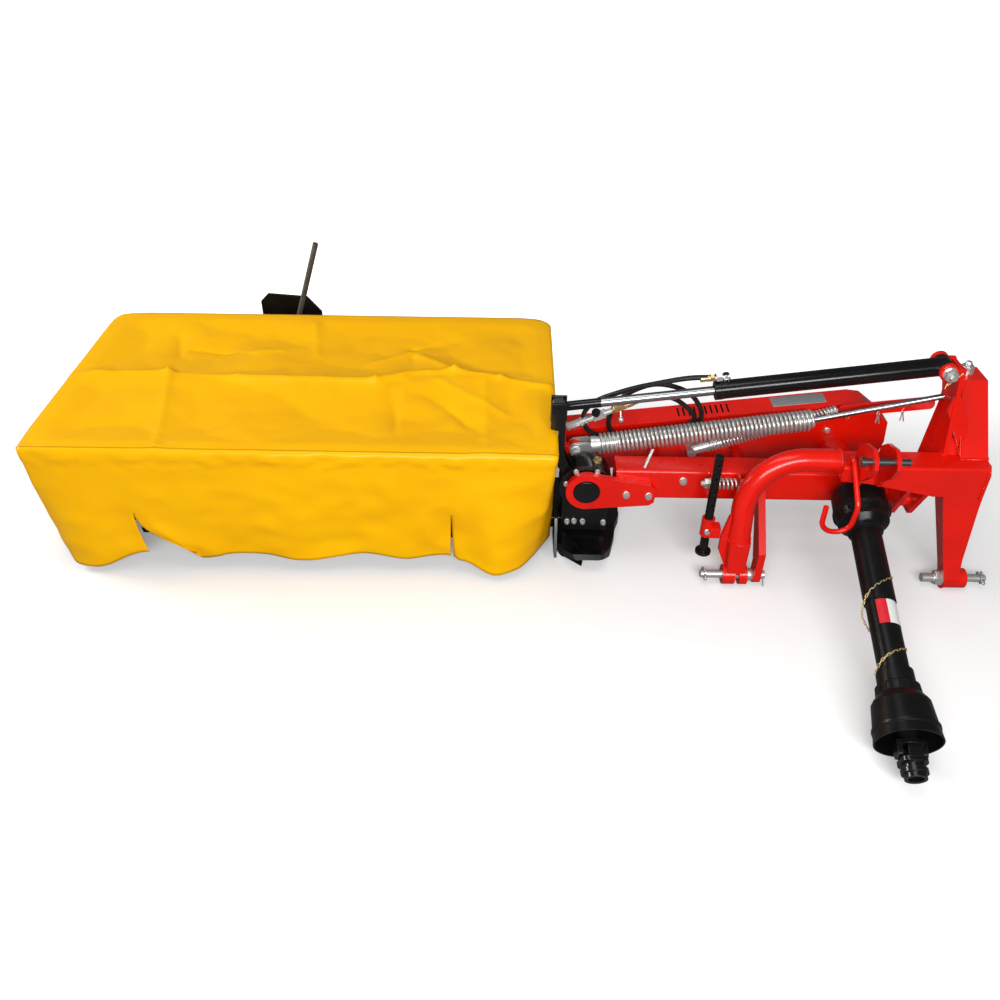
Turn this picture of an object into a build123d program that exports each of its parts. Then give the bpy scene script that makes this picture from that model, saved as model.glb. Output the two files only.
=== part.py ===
"""Three-point disc mower with three discs, a fabric guard and a side-folding cutter bar.

Millimetres, +Z up, floor at Z = 0. X runs along the machine: the cutter bar lies to -X and the
headstock to +X. The tractor stands on the -Y side. The origin is the middle of the footprint.
"""

import math
import os

from build123d import *

os.makedirs("parts", exist_ok=True)

# Hitch: Category I pins and the heights of the headstock
HITCH_X = 925.0
HITCH_SPAN = 683.0
PIN_Y = -268.0
PIN_RADIUS = 11.0
PIN_SHANK = 12.5
PIN_CHAMFER = 3.0
BOSS_RADIUS = 28.0
PIN_Z = BOSS_RADIUS
PIN_REACH = 62.0
LEFT_SHOULDER = HITCH_X - HITCH_SPAN / 2
RIGHT_SHOULDER = HITCH_X + HITCH_SPAN / 2

TUBE_OUTER = 62.0
TUBE_WALL = 5.0
TUBE_BEND = 150.0
TUBE_Y = PIN_Y + 14
TUBE_TOP_Y = -212.0
TUBE_Z = 385.0
LEG_X = LEFT_SHOULDER + 32
LEG_FOOT_Z = 150.0
BEAM_BOX_LEFT = 850.0
BEAM_BOX_RIGHT = 1228.0
BEAM_BOX_DEEP = 84.0
BEAM_BOX_HIGH = 90.0

TOP_LINK_X = 915.0
TOP_LINK_GAP = 46.0
TOP_LINK_PLATE = 10.0
TOP_LINK_Z = 462.0
TOP_LINK_Y = PIN_Y - 62
TOP_PIN_RADIUS = 9.5

# Post that carries the lift cylinder, the springs and the strap
POST_LEFT = 1168.0
POST_RIGHT = 1242.0
POST_TOP_RIGHT = 1234.0
POST_FRONT_Y = -215.0
POST_DEEP = 60.0
POST_LEAN = 36.0
POST_CAP_Z = 566.0
WALL_LEFT = 1127.0
WALL_PLATE = 12.0
SIDE_PLATE = 10.0

# Main beam, with the belt cover behind it
BEAM_RIGHT = 1081.7
BEAM_FRONT = -155.0
BEAM_DEEP = 80.0
BEAM_BOTTOM = 205.0
BEAM_HIGH = 96.0
BEAM_WALL = 6.0

COVER_FRONT = 40.0
COVER_DEEP = 80.0
COVER_LEFT = 126.0
COVER_SLANT = 956.0
COVER_RIGHT = COVER_SLANT + 119.0
COVER_TOP_LEFT = 304.0
COVER_TOP_RIGHT = 411.0
COVER_BOTTOM = 175.0

# Fold pivot of the cutter bar, along Y through the hub
HUB_X = 193.0
HUB_Z = 237.0
ARM_THICK = 18.0
SEAT = 0.3
HUB_FACE_Y = BEAM_FRONT - SEAT - ARM_THICK
HUB_RADIUS = 58.0
GEAR_RADIUS = 74.0
FOLD_CLEARANCE = 6.0
BEAM_LEFT = HUB_X + GEAR_RADIUS + FOLD_CLEARANCE
SHAFT_RADIUS = 38.0
RUN_FIT = 0.05

# Lift cylinder
CYL_Y = -110.0
CYL_BASE_X = 1098.0
CYL_BASE_Z = 616.0
CYL_EYE_X = 107.0
CYL_EYE_Z = 475.0
BARREL_RADIUS = 25.0
ROD_RADIUS = 12.5
BARREL_LENGTH = 585.0
ROD_IN_BARREL = 205.0
CYL_PIN_RADIUS = 10.0

# Float springs
SPRING_Y = -40.0
SPRING_RADIUS = 30.0
SPRING_WIRE = 8.0
CLEVIS_X = 163.5
CLEVIS_Z = 303.0
SPRING_START_X = 225.0
SPRING_END_X = 822.0
SPRING_END_Z = 403.0
AUX_Y = 13.0
AUX_RADIUS = 18.5
AUX_WIRE = 5.0

# Cutter bar
BAR_Y = 12.0
BAR_DEEP = 210.0
BAR_HIGH = 46.0
BAR_Z = 42.0
BAR_LEFT = -1285.0
BAR_RIGHT = 262.0
DISC_PITCH = 425.0
DISC_COUNT = 3
DISC_FIRST_X = -180.0
DISC_RADIUS = 180.0
KNIFE_REACH = 238.0
DISC_GAP = 6.0

# Fabric guard
CANOPY_LEFT = -1328.5
CANOPY_RIGHT = 106.5
CANOPY_FRONT = -247.0
CANOPY_REAR = 570.0
CANOPY_TOP = 408.0
CANOPY_HEM = 42.0
CANOPY_CORNER = 120.0
CANOPY_CLOTH = 4.0

# Stand, driveshaft and swath board
STAND_X = 531.0
STAND_Y = PIN_Y + 44
STAND_TOP = 400.0
STAND_FOOT = 72.0
STAND_RADIUS = 12.0
SHAFT_JOINT = (930.0, -222.0, 262.0)
SHAFT_DROP = 15.2
SHAFT_SWING = 3.4
BELL_RADIUS = 72.0
GUARD_RADIUS = 39.0


def save(builder, name, color):
    """Label a finished sub-part, colour it and write its STEP file."""
    builder.part.label = name
    builder.part.color = Color(*color)
    export_step(builder.part, f"parts/{name}.step")


RED = (0.85, 0.09, 0.05)
BLACK = (0.06, 0.06, 0.07)
ZINC = (0.72, 0.73, 0.74)
AMBER = (0.95, 0.68, 0.03)
CHROME = (0.85, 0.86, 0.88)

# Bent tube of the headstock, from the cross beam down and forward to the left foot
FOOT_SPARE = 12.0
FOOT_TILT = (TUBE_Y - TUBE_TOP_Y) / (TUBE_Z - LEG_FOOT_Z)
with BuildPart() as headstock_tube:
    with BuildLine():
        FilletPolyline(
            (BEAM_BOX_LEFT, TUBE_TOP_Y, TUBE_Z),
            (LEG_X, TUBE_TOP_Y, TUBE_Z),
            (LEG_X, TUBE_Y + FOOT_TILT * FOOT_SPARE, LEG_FOOT_Z - FOOT_SPARE),
            radius=TUBE_BEND,
        )
    with BuildSketch(Plane(origin=(BEAM_BOX_LEFT, TUBE_TOP_Y, TUBE_Z), z_dir=(-1, 0, 0))):
        Circle(TUBE_OUTER / 2)
        Circle(TUBE_OUTER / 2 - TUBE_WALL, mode=Mode.SUBTRACT)
    sweep()
    split(bisect_by=Plane.XY.offset(LEG_FOOT_Z), keep=Keep.TOP)
save(headstock_tube, "headstock_tube", RED)

# Box beam between the tube and the right leg, deeper towards the leg
BOX_Y = PIN_Y + 6
BOX_Z = 307.0
BOX_TOP = BOX_Z + BEAM_BOX_HIGH
BOX_SLANT = ((BEAM_BOX_LEFT, 352.0), (921.0, 346.0), (1104.0, BOX_Z))
with BuildPart() as cross_beam:
    with BuildSketch(Plane.XZ.offset(-BOX_Y)):
        with BuildLine():
            Polyline(
                *BOX_SLANT,
                (BEAM_BOX_RIGHT, BOX_Z),
                (BEAM_BOX_RIGHT, BOX_TOP),
                (BEAM_BOX_LEFT, BOX_TOP),
                close=True,
            )
        make_face()
    extrude(amount=-BEAM_BOX_DEEP)
    fillet(cross_beam.edges().filter_by(Axis.X).group_by(Axis.Z)[-1], 8)
save(cross_beam, "cross_beam", RED)

# Right leg: a box that narrows to the lower boss, with the side plate that also closes the beam
LEG_LEFT = 1132.0
LEG_REAR = BOX_Y + 58
with BuildPart() as right_leg:
    with BuildSketch(Plane.XZ.offset(-LEG_REAR)):
        with BuildLine():
            Polyline(
                (LEG_LEFT, BOX_Z - SEAT),
                (BEAM_BOX_RIGHT + SIDE_PLATE, BOX_Z - SEAT),
                (BEAM_BOX_RIGHT + SIDE_PLATE, PIN_Z),
                (RIGHT_SHOULDER - 62, PIN_Z),
                (RIGHT_SHOULDER - 72, PIN_Z + 34),
                close=True,
            )
        make_face()
    extrude(amount=100)
    with BuildSketch(Plane.YZ.offset(LEG_LEFT)):
        with BuildLine():
            Polyline(
                (BOX_Y + 2, BOX_Z),
                (BOX_Y, BOX_Z - 40),
                (PIN_Y - 12, 104),
                (PIN_Y - BOSS_RADIUS, PIN_Z + 16),
                (PIN_Y - BOSS_RADIUS, PIN_Z),
                (PIN_Y + BOSS_RADIUS - 2, PIN_Z),
                (PIN_Y + BOSS_RADIUS, PIN_Z + 40),
                (LEG_REAR, BOX_Z - 50),
                (LEG_REAR, BOX_Z),
                close=True,
            )
        make_face()
    extrude(amount=RIGHT_SHOULDER - LEG_LEFT, mode=Mode.INTERSECT)
    with BuildSketch(Plane.YZ.offset(BEAM_BOX_RIGHT + SEAT)):
        with BuildLine():
            Polyline(
                (BOX_Y + 2, BOX_Z - 40),
                (BOX_Y + 2, BOX_TOP - 22),
                (BOX_Y + 16, BOX_TOP),
                (BOX_Y + BEAM_BOX_DEEP, BOX_TOP),
                (BOX_Y + BEAM_BOX_DEEP, BOX_Z),
                (LEG_REAR, BOX_Z - 40),
                close=True,
            )
        make_face()
    extrude(amount=SIDE_PLATE - SEAT)
    with BuildSketch(Plane.YZ.offset(RIGHT_SHOULDER)):
        with Locations((PIN_Y, PIN_Z)):
            Circle(BOSS_RADIUS)
    extrude(amount=-62)
    with BuildSketch(Plane.YZ.offset(RIGHT_SHOULDER)):
        with Locations((PIN_Y, PIN_Z)):
            Circle(PIN_SHANK)
    extrude(amount=-90, mode=Mode.SUBTRACT)
save(right_leg, "right_leg", RED)

# Leaning post with its cap, the wall plate beside it, the kite gusset and the two cylinder lugs
lean = math.radians(POST_LEAN)
post_plane = Plane(
    origin=(0, POST_FRONT_Y, BOX_TOP),
    x_dir=(1, 0, 0),
    z_dir=(0, -math.cos(lean), math.sin(lean)),
)
POST_REACH = 260.0
WEB_BACK = 16.0
WALL_FRONT = ((BOX_Y + 62, BOX_TOP), (BOX_Y + 72, BOX_TOP + 40), (CYL_Y - 38, CYL_BASE_Z + 8))
LUG_RADIUS = 24.0
LUG_THICK = 12.0
LUG_GAP = 56.0
kite_lean = math.atan2(WALL_FRONT[2][0] - WALL_FRONT[1][0], WALL_FRONT[2][1] - WALL_FRONT[1][1])
kite_plane = Plane(
    origin=(0, WALL_FRONT[1][0] + 4, WALL_FRONT[1][1]),
    x_dir=(1, 0, 0),
    z_dir=(0, -math.cos(kite_lean), math.sin(kite_lean)),
)
with BuildPart() as spring_post:
    with BuildSketch(post_plane):
        with BuildLine():
            Polyline(
                (POST_LEFT, -40),
                (POST_RIGHT, -40),
                (POST_TOP_RIGHT, POST_REACH),
                (POST_LEFT, POST_REACH),
                close=True,
            )
        make_face()
    extrude(amount=-POST_DEEP)
    with BuildSketch(post_plane.offset(-WEB_BACK)):
        with BuildLine():
            Polyline(
                (WALL_LEFT, -40),
                (POST_LEFT + 6, -40),
                (POST_LEFT + 6, POST_REACH),
                (WALL_LEFT, POST_REACH),
                close=True,
            )
        make_face()
    extrude(amount=-WALL_PLATE)
    split(bisect_by=Plane.XY.offset(BOX_TOP + SEAT), keep=Keep.TOP)
    split(bisect_by=Plane.XY.offset(POST_CAP_Z), keep=Keep.BOTTOM)
    with BuildSketch(Plane.YZ.offset(WALL_LEFT)):
        with BuildLine():
            Polyline(
                (WALL_FRONT[0][0], WALL_FRONT[0][1] + SEAT),
                WALL_FRONT[1],
                WALL_FRONT[2],
                (CYL_Y + 38, CYL_BASE_Z + 8),
                (CYL_Y + 24, CYL_BASE_Z - 114),
                (CYL_Y + 46, BOX_Z + 10),
                (BOX_Y + BEAM_BOX_DEEP + SEAT, BOX_Z + 10),
                (BOX_Y + BEAM_BOX_DEEP + SEAT, BOX_TOP + SEAT),
                close=True,
            )
        make_face()
    extrude(amount=WALL_PLATE)
    with BuildSketch(kite_plane):
        with BuildLine():
            Polyline(
                (WALL_LEFT + 6, 140),
                (WALL_LEFT - 12, 82),
                (POST_LEFT, -24),
                (POST_LEFT + 12, 18),
                (POST_LEFT + 6, 56),
                close=True,
            )
        make_face()
    extrude(amount=-10)
    for side in (-1, 1):
        with BuildSketch(Plane.XZ.offset(-(CYL_Y + side * (LUG_GAP + LUG_THICK) / 2 + LUG_THICK / 2))):
            with Locations((CYL_BASE_X, CYL_BASE_Z)):
                Circle(LUG_RADIUS)
            with Locations(((CYL_BASE_X + WALL_LEFT) / 2 + 6, CYL_BASE_Z - 6)):
                Rectangle(WALL_LEFT - CYL_BASE_X + 12, 2 * LUG_RADIUS - 14)
            with Locations((CYL_BASE_X, CYL_BASE_Z)):
                Circle(CYL_PIN_RADIUS + RUN_FIT, mode=Mode.SUBTRACT)
        extrude(amount=LUG_THICK)
save(spring_post, "spring_post", RED)

# Left foot: a tapered shoe on the tube's end, its side gusset and the two bosses of the left pin
FOOT_LOW = 2 * PIN_Z - 8
with BuildPart() as left_foot:
    with BuildSketch(Plane.XY.offset(LEG_FOOT_Z - SEAT)):
        with Locations((LEG_X, TUBE_Y - 2)):
            RectangleRounded(TUBE_OUTER - 2, TUBE_OUTER - 4, 10)
    with BuildSketch(Plane.XY.offset(FOOT_LOW)):
        with Locations((LEFT_SHOULDER + 34, PIN_Y)):
            RectangleRounded(50, 44, 8)
    loft()
    with BuildSketch(Plane.XZ.offset(-(TUBE_Y + 6))):
        with BuildLine():
            Polyline(
                (LEG_X - TUBE_OUTER / 2 - SEAT, LEG_FOOT_Z + 76),
                (LEG_X - TUBE_OUTER / 2 - 6, LEG_FOOT_Z + 76),
                (LEG_X - TUBE_OUTER / 2 - 20, LEG_FOOT_Z + 6),
                (LEG_X - TUBE_OUTER / 2 - 20, LEG_FOOT_Z - 42),
                (LEFT_SHOULDER + 8, FOOT_LOW - 4),
                (LEFT_SHOULDER + 40, FOOT_LOW - 4),
                (LEG_X, LEG_FOOT_Z - SEAT),
                (LEG_X - TUBE_OUTER / 2 - SEAT, LEG_FOOT_Z - SEAT),
                close=True,
            )
        make_face()
    extrude(amount=12)
    for left, right in ((LEFT_SHOULDER, LEFT_SHOULDER + 33), (LEFT_SHOULDER + 46, LEFT_SHOULDER + 68)):
        with BuildSketch(Plane.YZ.offset(left)):
            with Locations((PIN_Y, PIN_Z)):
                Circle(BOSS_RADIUS)
        extrude(amount=right - left)
    with BuildSketch(Plane.YZ.offset(LEFT_SHOULDER + 30)):
        with Locations((PIN_Y, PIN_Z + 18)):
            Rectangle(30, 20)
    extrude(amount=20)
    with BuildSketch(Plane.YZ.offset(LEFT_SHOULDER)):
        with Locations((PIN_Y, PIN_Z)):
            Circle(PIN_SHANK)
    extrude(amount=80, mode=Mode.SUBTRACT)
save(left_foot, "left_foot", RED)

# Brace bar from the beam down to the inner end of the left pin
BRACE_X = LEFT_SHOULDER + 86
BRACE_THICK = 20.0
with BuildPart() as left_brace:
    with BuildSketch(Plane.YZ.offset(BRACE_X)):
        with BuildLine():
            Polyline(
                (PIN_Y - 22, PIN_Z),
                (PIN_Y - 22, PIN_Z + 90),
                (BEAM_FRONT - 0.3, BEAM_BOTTOM + 60),
                (BEAM_FRONT - 0.3, BEAM_BOTTOM + 4),
                (PIN_Y + 22, PIN_Z + 40),
                (PIN_Y + 22, PIN_Z),
                close=True,
            )
        make_face()
        with Locations((PIN_Y, PIN_Z)):
            Circle(22)
            Circle(PIN_SHANK, mode=Mode.SUBTRACT)
    extrude(amount=BRACE_THICK)
save(left_brace, "left_brace", RED)

# Lower hitch pins, each with a shoulder collar and a lynch hole
LYNCH_RADIUS = 5.5
LYNCH_BACK = 12.0
for name, face, outward, inward in (
    ("pin_left", LEFT_SHOULDER, -1, 120.0),
    ("pin_right", RIGHT_SHOULDER, 1, 118.0),
):
    with BuildPart() as pin:
        with BuildSketch(Plane.YZ.offset(face + outward * PIN_REACH)):
            with Locations((PIN_Y, PIN_Z)):
                Circle(PIN_RADIUS)
        extrude(amount=-outward * PIN_REACH)
        chamfer(pin.edges().group_by(Axis.X)[-1 if outward > 0 else 0], PIN_CHAMFER)
        with BuildSketch(Plane.YZ.offset(face)):
            with Locations((PIN_Y, PIN_Z)):
                Circle(PIN_SHANK)
        extrude(amount=-outward * inward)
        with BuildSketch(Plane.XZ.offset(-(PIN_Y + 20))):
            with Locations((face + outward * (PIN_REACH - LYNCH_BACK), PIN_Z)):
                Circle(LYNCH_RADIUS)
        extrude(amount=40, mode=Mode.SUBTRACT)
    save(pin, name, ZINC)

# Top-link bracket: two plates on the cross beam, with their pin
with BuildPart() as top_link_bracket:
    for side in (-1, 1):
        near = TOP_LINK_X + side * (TOP_LINK_GAP + TOP_LINK_PLATE) / 2 - TOP_LINK_PLATE / 2
        with BuildSketch(Plane.YZ.offset(near)):
            with BuildLine():
                Polyline(
                    (BOX_Y - SEAT, BOX_TOP - 46),
                    (BOX_Y - SEAT, BOX_TOP + SEAT),
                    (BOX_Y + 30, BOX_TOP + SEAT),
                    (BOX_Y + 26, TOP_LINK_Z - 12),
                    (BOX_Y - 6, TOP_LINK_Z + 16),
                    (TOP_LINK_Y + 8, TOP_LINK_Z + 32),
                    (TOP_LINK_Y - 20, TOP_LINK_Z + 18),
                    (TOP_LINK_Y - 30, TOP_LINK_Z - 6),
                    (TOP_LINK_Y - 10, TOP_LINK_Z - 42),
                    (BOX_Y - 34, BOX_TOP - 18),
                    (BOX_Y - 20, BOX_TOP - 46),
                    close=True,
                )
            make_face()
            with Locations((TOP_LINK_Y, TOP_LINK_Z)):
                Circle(TOP_PIN_RADIUS + RUN_FIT, mode=Mode.SUBTRACT)
        extrude(amount=TOP_LINK_PLATE)
save(top_link_bracket, "top_link_bracket", RED)

with BuildPart() as top_link_pin:
    with BuildSketch(Plane.YZ.offset(TOP_LINK_X - 52)):
        with Locations((TOP_LINK_Y, TOP_LINK_Z)):
            Circle(TOP_PIN_RADIUS)
    extrude(amount=116)
    with BuildSketch(Plane.YZ.offset(TOP_LINK_X - 60)):
        with Locations((TOP_LINK_Y, TOP_LINK_Z)):
            Circle(TOP_PIN_RADIUS + 4)
    extrude(amount=10)
save(top_link_pin, "top_link_pin", ZINC)

# Hook of round bar that holds the driveshaft when it is taken off
HOOK_RADIUS = 7.0
HOOK_X = 869.0
HOOK_Y = TOP_LINK_Y - 8
HOOK_LOW = 244.0
HOOK_STUB_Z = 322.0
with BuildPart() as shaft_hook:
    with BuildLine() as hook_path:
        FilletPolyline(
            (HOOK_X, BOX_Y + 26, BOX_TOP + SEAT),
            (HOOK_X, BOX_Y + 22, BOX_TOP + 40),
            (HOOK_X + 11, HOOK_Y, BOX_Z + 16),
            (HOOK_X + 4, HOOK_Y, HOOK_LOW),
            (HOOK_X - 72, HOOK_Y, HOOK_LOW),
            (HOOK_X - 72, HOOK_Y, HOOK_STUB_Z + 4),
            radius=(14, 40, 36, 36),
        )
    with BuildSketch(Plane(origin=hook_path.line @ 0, z_dir=hook_path.line % 0)):
        Circle(HOOK_RADIUS)
    sweep(transition=Transition.ROUND)
    with BuildSketch(Plane.YZ.offset(HOOK_X - 72 + HOOK_RADIUS)):
        with Locations((HOOK_Y, HOOK_STUB_Z)):
            Circle(HOOK_RADIUS)
    extrude(amount=-32)
save(shaft_hook, "shaft_hook", RED)

# Main beam: a rectangular tube
with BuildPart() as main_beam:
    with BuildSketch(Plane.YZ.offset(BEAM_LEFT)):
        with Locations((BEAM_FRONT + BEAM_DEEP / 2, BEAM_BOTTOM + BEAM_HIGH / 2)):
            RectangleRounded(BEAM_DEEP, BEAM_HIGH, 10)
            RectangleRounded(BEAM_DEEP - 2 * BEAM_WALL, BEAM_HIGH - 2 * BEAM_WALL, 4, mode=Mode.SUBTRACT)
    extrude(amount=BEAM_RIGHT - BEAM_LEFT)
save(main_beam, "main_beam", RED)

# Hinge plates that hang the beam from the cross beam
HINGE_X = (1034.0, 1082.0)
HINGE_PLATE = 14.0
HINGE_RISE = {HINGE_X[0]: 11.5, HINGE_X[1]: 1.3}
with BuildPart() as hinge_plates:
    for left in HINGE_X:
        with BuildSketch(Plane.YZ.offset(left)):
            with BuildLine():
                Polyline(
                    (BOX_Y + 6, BOX_Z + HINGE_RISE[left]),
                    (BOX_Y + BEAM_BOX_DEEP, BOX_Z + HINGE_RISE[left]),
                    (BEAM_FRONT + BEAM_DEEP, BEAM_BOTTOM + BEAM_HIGH + 10),
                    (BEAM_FRONT + BEAM_DEEP, BEAM_BOTTOM),
                    (BEAM_FRONT - 46, BEAM_BOTTOM),
                    close=True,
                )
            make_face()
        extrude(amount=HINGE_PLATE)
    with BuildSketch(Plane.YZ.offset(HINGE_X[0])):
        with Locations((BEAM_FRONT + BEAM_DEEP / 2, BEAM_BOTTOM + BEAM_HIGH / 2)):
            RectangleRounded(BEAM_DEEP + 0.6, BEAM_HIGH + 0.6, 10)
    extrude(amount=BEAM_RIGHT - HINGE_X[0] + 0.3, mode=Mode.SUBTRACT)
    with BuildSketch(Plane.YZ.offset(BEAM_RIGHT + 0.3)):
        with Locations((BEAM_FRONT - 24, BEAM_BOTTOM + 34)):
            Circle(17)
    extrude(amount=60, mode=Mode.SUBTRACT)
    with BuildSketch(Plane.YZ.offset(HINGE_X[0] + HINGE_PLATE)):
        with Locations((BEAM_FRONT - 24, BEAM_BOTTOM + 34)):
            Circle(20)
            Circle(17, mode=Mode.SUBTRACT)
    extrude(amount=HINGE_X[1] - HINGE_X[0] - HINGE_PLATE)
save(hinge_plates, "hinge_plates", RED)

# Pivot arm: the plate bolted to the beam, with the ring of the fold pivot
ARM_REAR = BEAM_FRONT - SEAT
with BuildPart() as pivot_arm:
    with BuildSketch(Plane.XZ.offset(-ARM_REAR)):
        with BuildLine():
            Polyline(
                (HUB_X, HUB_Z + HUB_RADIUS),
                (HUB_X + 20, HUB_Z + HUB_RADIUS - 4),
                (HUB_X + 178, HUB_Z + 26),
                (HUB_X + 194, HUB_Z + 8),
                (HUB_X + 190, HUB_Z - 32),
                (HUB_X + 176, HUB_Z - 42),
                (HUB_X, HUB_Z - HUB_RADIUS),
                close=True,
            )
        make_face()
        with Locations((HUB_X, HUB_Z)):
            Circle(HUB_RADIUS)
            Circle(SHAFT_RADIUS + RUN_FIT, mode=Mode.SUBTRACT)
    extrude(amount=ARM_THICK)
save(pivot_arm, "pivot_arm", RED)

# Belt cover: a folded sheet box that tapers towards the cutter bar
cover_rear = COVER_FRONT + COVER_DEEP
VENT_COUNT = 10
VENT_FROM = 346.0
VENT_PITCH = 15.8
VENT_LONG = 48.0
VENT_WIDE = 5.5
VENT_DEEP = 6.0
cover_top = Plane(
    origin=(COVER_LEFT, COVER_FRONT + COVER_DEEP / 2, COVER_TOP_LEFT),
    x_dir=(COVER_SLANT - COVER_LEFT, 0, COVER_TOP_RIGHT - COVER_TOP_LEFT),
    z_dir=(COVER_TOP_LEFT - COVER_TOP_RIGHT, 0, COVER_SLANT - COVER_LEFT),
)
with BuildPart() as belt_cover:
    with BuildSketch(Plane.XZ.offset(-cover_rear)):
        with BuildLine():
            Polyline(
                (COVER_LEFT, COVER_TOP_LEFT),
                (COVER_SLANT, COVER_TOP_RIGHT),
                (COVER_RIGHT - 82, COVER_TOP_RIGHT - 4),
                (COVER_RIGHT - 6, COVER_TOP_RIGHT - 62),
                (COVER_RIGHT, COVER_TOP_RIGHT - 128),
                (COVER_RIGHT - 16, COVER_BOTTOM + 40),
                (COVER_RIGHT - 66, COVER_BOTTOM - 10),
                (COVER_LEFT + 60, COVER_BOTTOM),
                (COVER_LEFT, COVER_BOTTOM + 30),
                close=True,
            )
        make_face()
    extrude(amount=COVER_DEEP)
    with BuildSketch(cover_top):
        with Locations(*[(VENT_FROM + VENT_PITCH * index, 0) for index in range(VENT_COUNT)]):
            SlotOverall(VENT_LONG, VENT_WIDE, rotation=90)
    extrude(amount=-VENT_DEEP, mode=Mode.SUBTRACT)
save(belt_cover, "belt_cover", RED)

# Spacers that tie the cover to the beam, one of them the bearing of the input shaft
SPACER_RADIUS = 16.0
BEARING_RADIUS = 44.0
BEAM_MID_Z = BEAM_BOTTOM + BEAM_HIGH / 2
with BuildPart() as cover_mounts:
    for x, radius in ((400.0, SPACER_RADIUS), (640.0, SPACER_RADIUS), (SHAFT_JOINT[0], BEARING_RADIUS)):
        with BuildSketch(Plane.XZ.offset(-(COVER_FRONT - SEAT))):
            with Locations((x, BEAM_MID_Z)):
                Circle(radius)
        extrude(amount=COVER_FRONT - SEAT - (BEAM_FRONT + BEAM_DEEP + SEAT))
save(cover_mounts, "cover_mounts", RED)

# Clevis, big float spring and its rod
spring_slope = math.degrees(
    math.atan2(SPRING_END_Z - CLEVIS_Z, SPRING_END_X - CLEVIS_X))


def along(x_from, z_from, slope, y, turn=0.0):
    """Plane square to a line that climbs towards +X by the slope, in degrees."""
    rise = math.radians(slope)
    swing = math.radians(turn)
    direction = (math.cos(rise) * math.cos(swing), math.cos(rise) * math.sin(swing), math.sin(rise))
    return Plane(origin=(x_from, y, z_from), x_dir=(math.sin(swing), -math.cos(swing), 0), z_dir=direction)


start_z = CLEVIS_Z + math.tan(math.radians(spring_slope)) * (SPRING_START_X - CLEVIS_X)
spring_run = math.hypot(SPRING_END_X - SPRING_START_X, SPRING_END_Z - start_z)
clevis_run = math.hypot(SPRING_START_X - CLEVIS_X, start_z - CLEVIS_Z)
cheek_run = clevis_run - 30
CLEVIS_PIN = 9.0
with BuildPart() as float_spring:
    with BuildSketch(along(SPRING_START_X, start_z, spring_slope, SPRING_Y)):
        Circle(SPRING_RADIUS)
        Circle(SPRING_RADIUS - SPRING_WIRE, mode=Mode.SUBTRACT)
    extrude(amount=spring_run)
save(float_spring, "float_spring", ZINC)

with BuildPart() as spring_plugs:
    with BuildSketch(along(SPRING_START_X, start_z, spring_slope, SPRING_Y)):
        Circle(SPRING_RADIUS - SPRING_WIRE - SEAT)
    extrude(amount=60)
    with BuildSketch(along(SPRING_START_X, start_z, spring_slope, SPRING_Y)):
        Circle(SPRING_RADIUS - 6)
    extrude(amount=-16)
    for side in (-1, 1):
        with BuildSketch(Plane.XZ.offset(-(SPRING_Y + side * 15 + 4))):
            with Locations((CLEVIS_X + cheek_run / 2, CLEVIS_Z + cheek_run / 2 * math.tan(math.radians(spring_slope)))):
                SlotCenterToCenter(cheek_run, 36, rotation=spring_slope)
            with Locations((CLEVIS_X, CLEVIS_Z)):
                Circle(CLEVIS_PIN, mode=Mode.SUBTRACT)
        extrude(amount=8)
    with BuildSketch(along(SPRING_END_X, SPRING_END_Z, spring_slope, SPRING_Y)):
        Circle(SPRING_RADIUS - SPRING_WIRE - SEAT)
    extrude(amount=-50)
save(spring_plugs, "spring_plugs", ZINC)

# Lug and pin that hold the clevis, on a bar from the cover that passes beside the cheek
LUG_BAR_X = CLEVIS_X - 34
with BuildPart() as clevis_lug:
    with BuildSketch(Plane.XZ.offset(-(SPRING_Y + 10))):
        with Locations((CLEVIS_X, CLEVIS_Z)):
            Circle(18)
        with Locations(((CLEVIS_X + LUG_BAR_X) / 2, CLEVIS_Z - 6)):
            Rectangle(CLEVIS_X - LUG_BAR_X, 24)
    extrude(amount=20)
    with BuildSketch(Plane.XZ.offset(-(SPRING_Y + 24))):
        with Locations((CLEVIS_X, CLEVIS_Z)):
            Circle(CLEVIS_PIN - RUN_FIT)
    extrude(amount=48)
    with BuildSketch(Plane.XZ.offset(-(COVER_FRONT - SEAT))):
        with Locations((LUG_BAR_X, CLEVIS_Z - 14)):
            Rectangle(18, 40)
    extrude(amount=COVER_FRONT - SEAT - (SPRING_Y - 10))
save(clevis_lug, "clevis_lug", RED)

# Rod from the big spring to the post
ROD_END = (WALL_LEFT - SEAT, SPRING_Y - 60, CYL_BASE_Z - 96)
rod_vector = Vector(*ROD_END) - Vector(SPRING_END_X, SPRING_Y, SPRING_END_Z)
with BuildPart() as spring_rod:
    with BuildSketch(Plane(origin=Vector(SPRING_END_X, SPRING_Y, SPRING_END_Z) + rod_vector.normalized() * 3, z_dir=rod_vector)):
        Circle(8)
    extrude(amount=rod_vector.length)
    split(bisect_by=Plane.YZ.offset(ROD_END[0]), keep=Keep.BOTTOM)
save(spring_rod, "spring_rod", ZINC)

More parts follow.
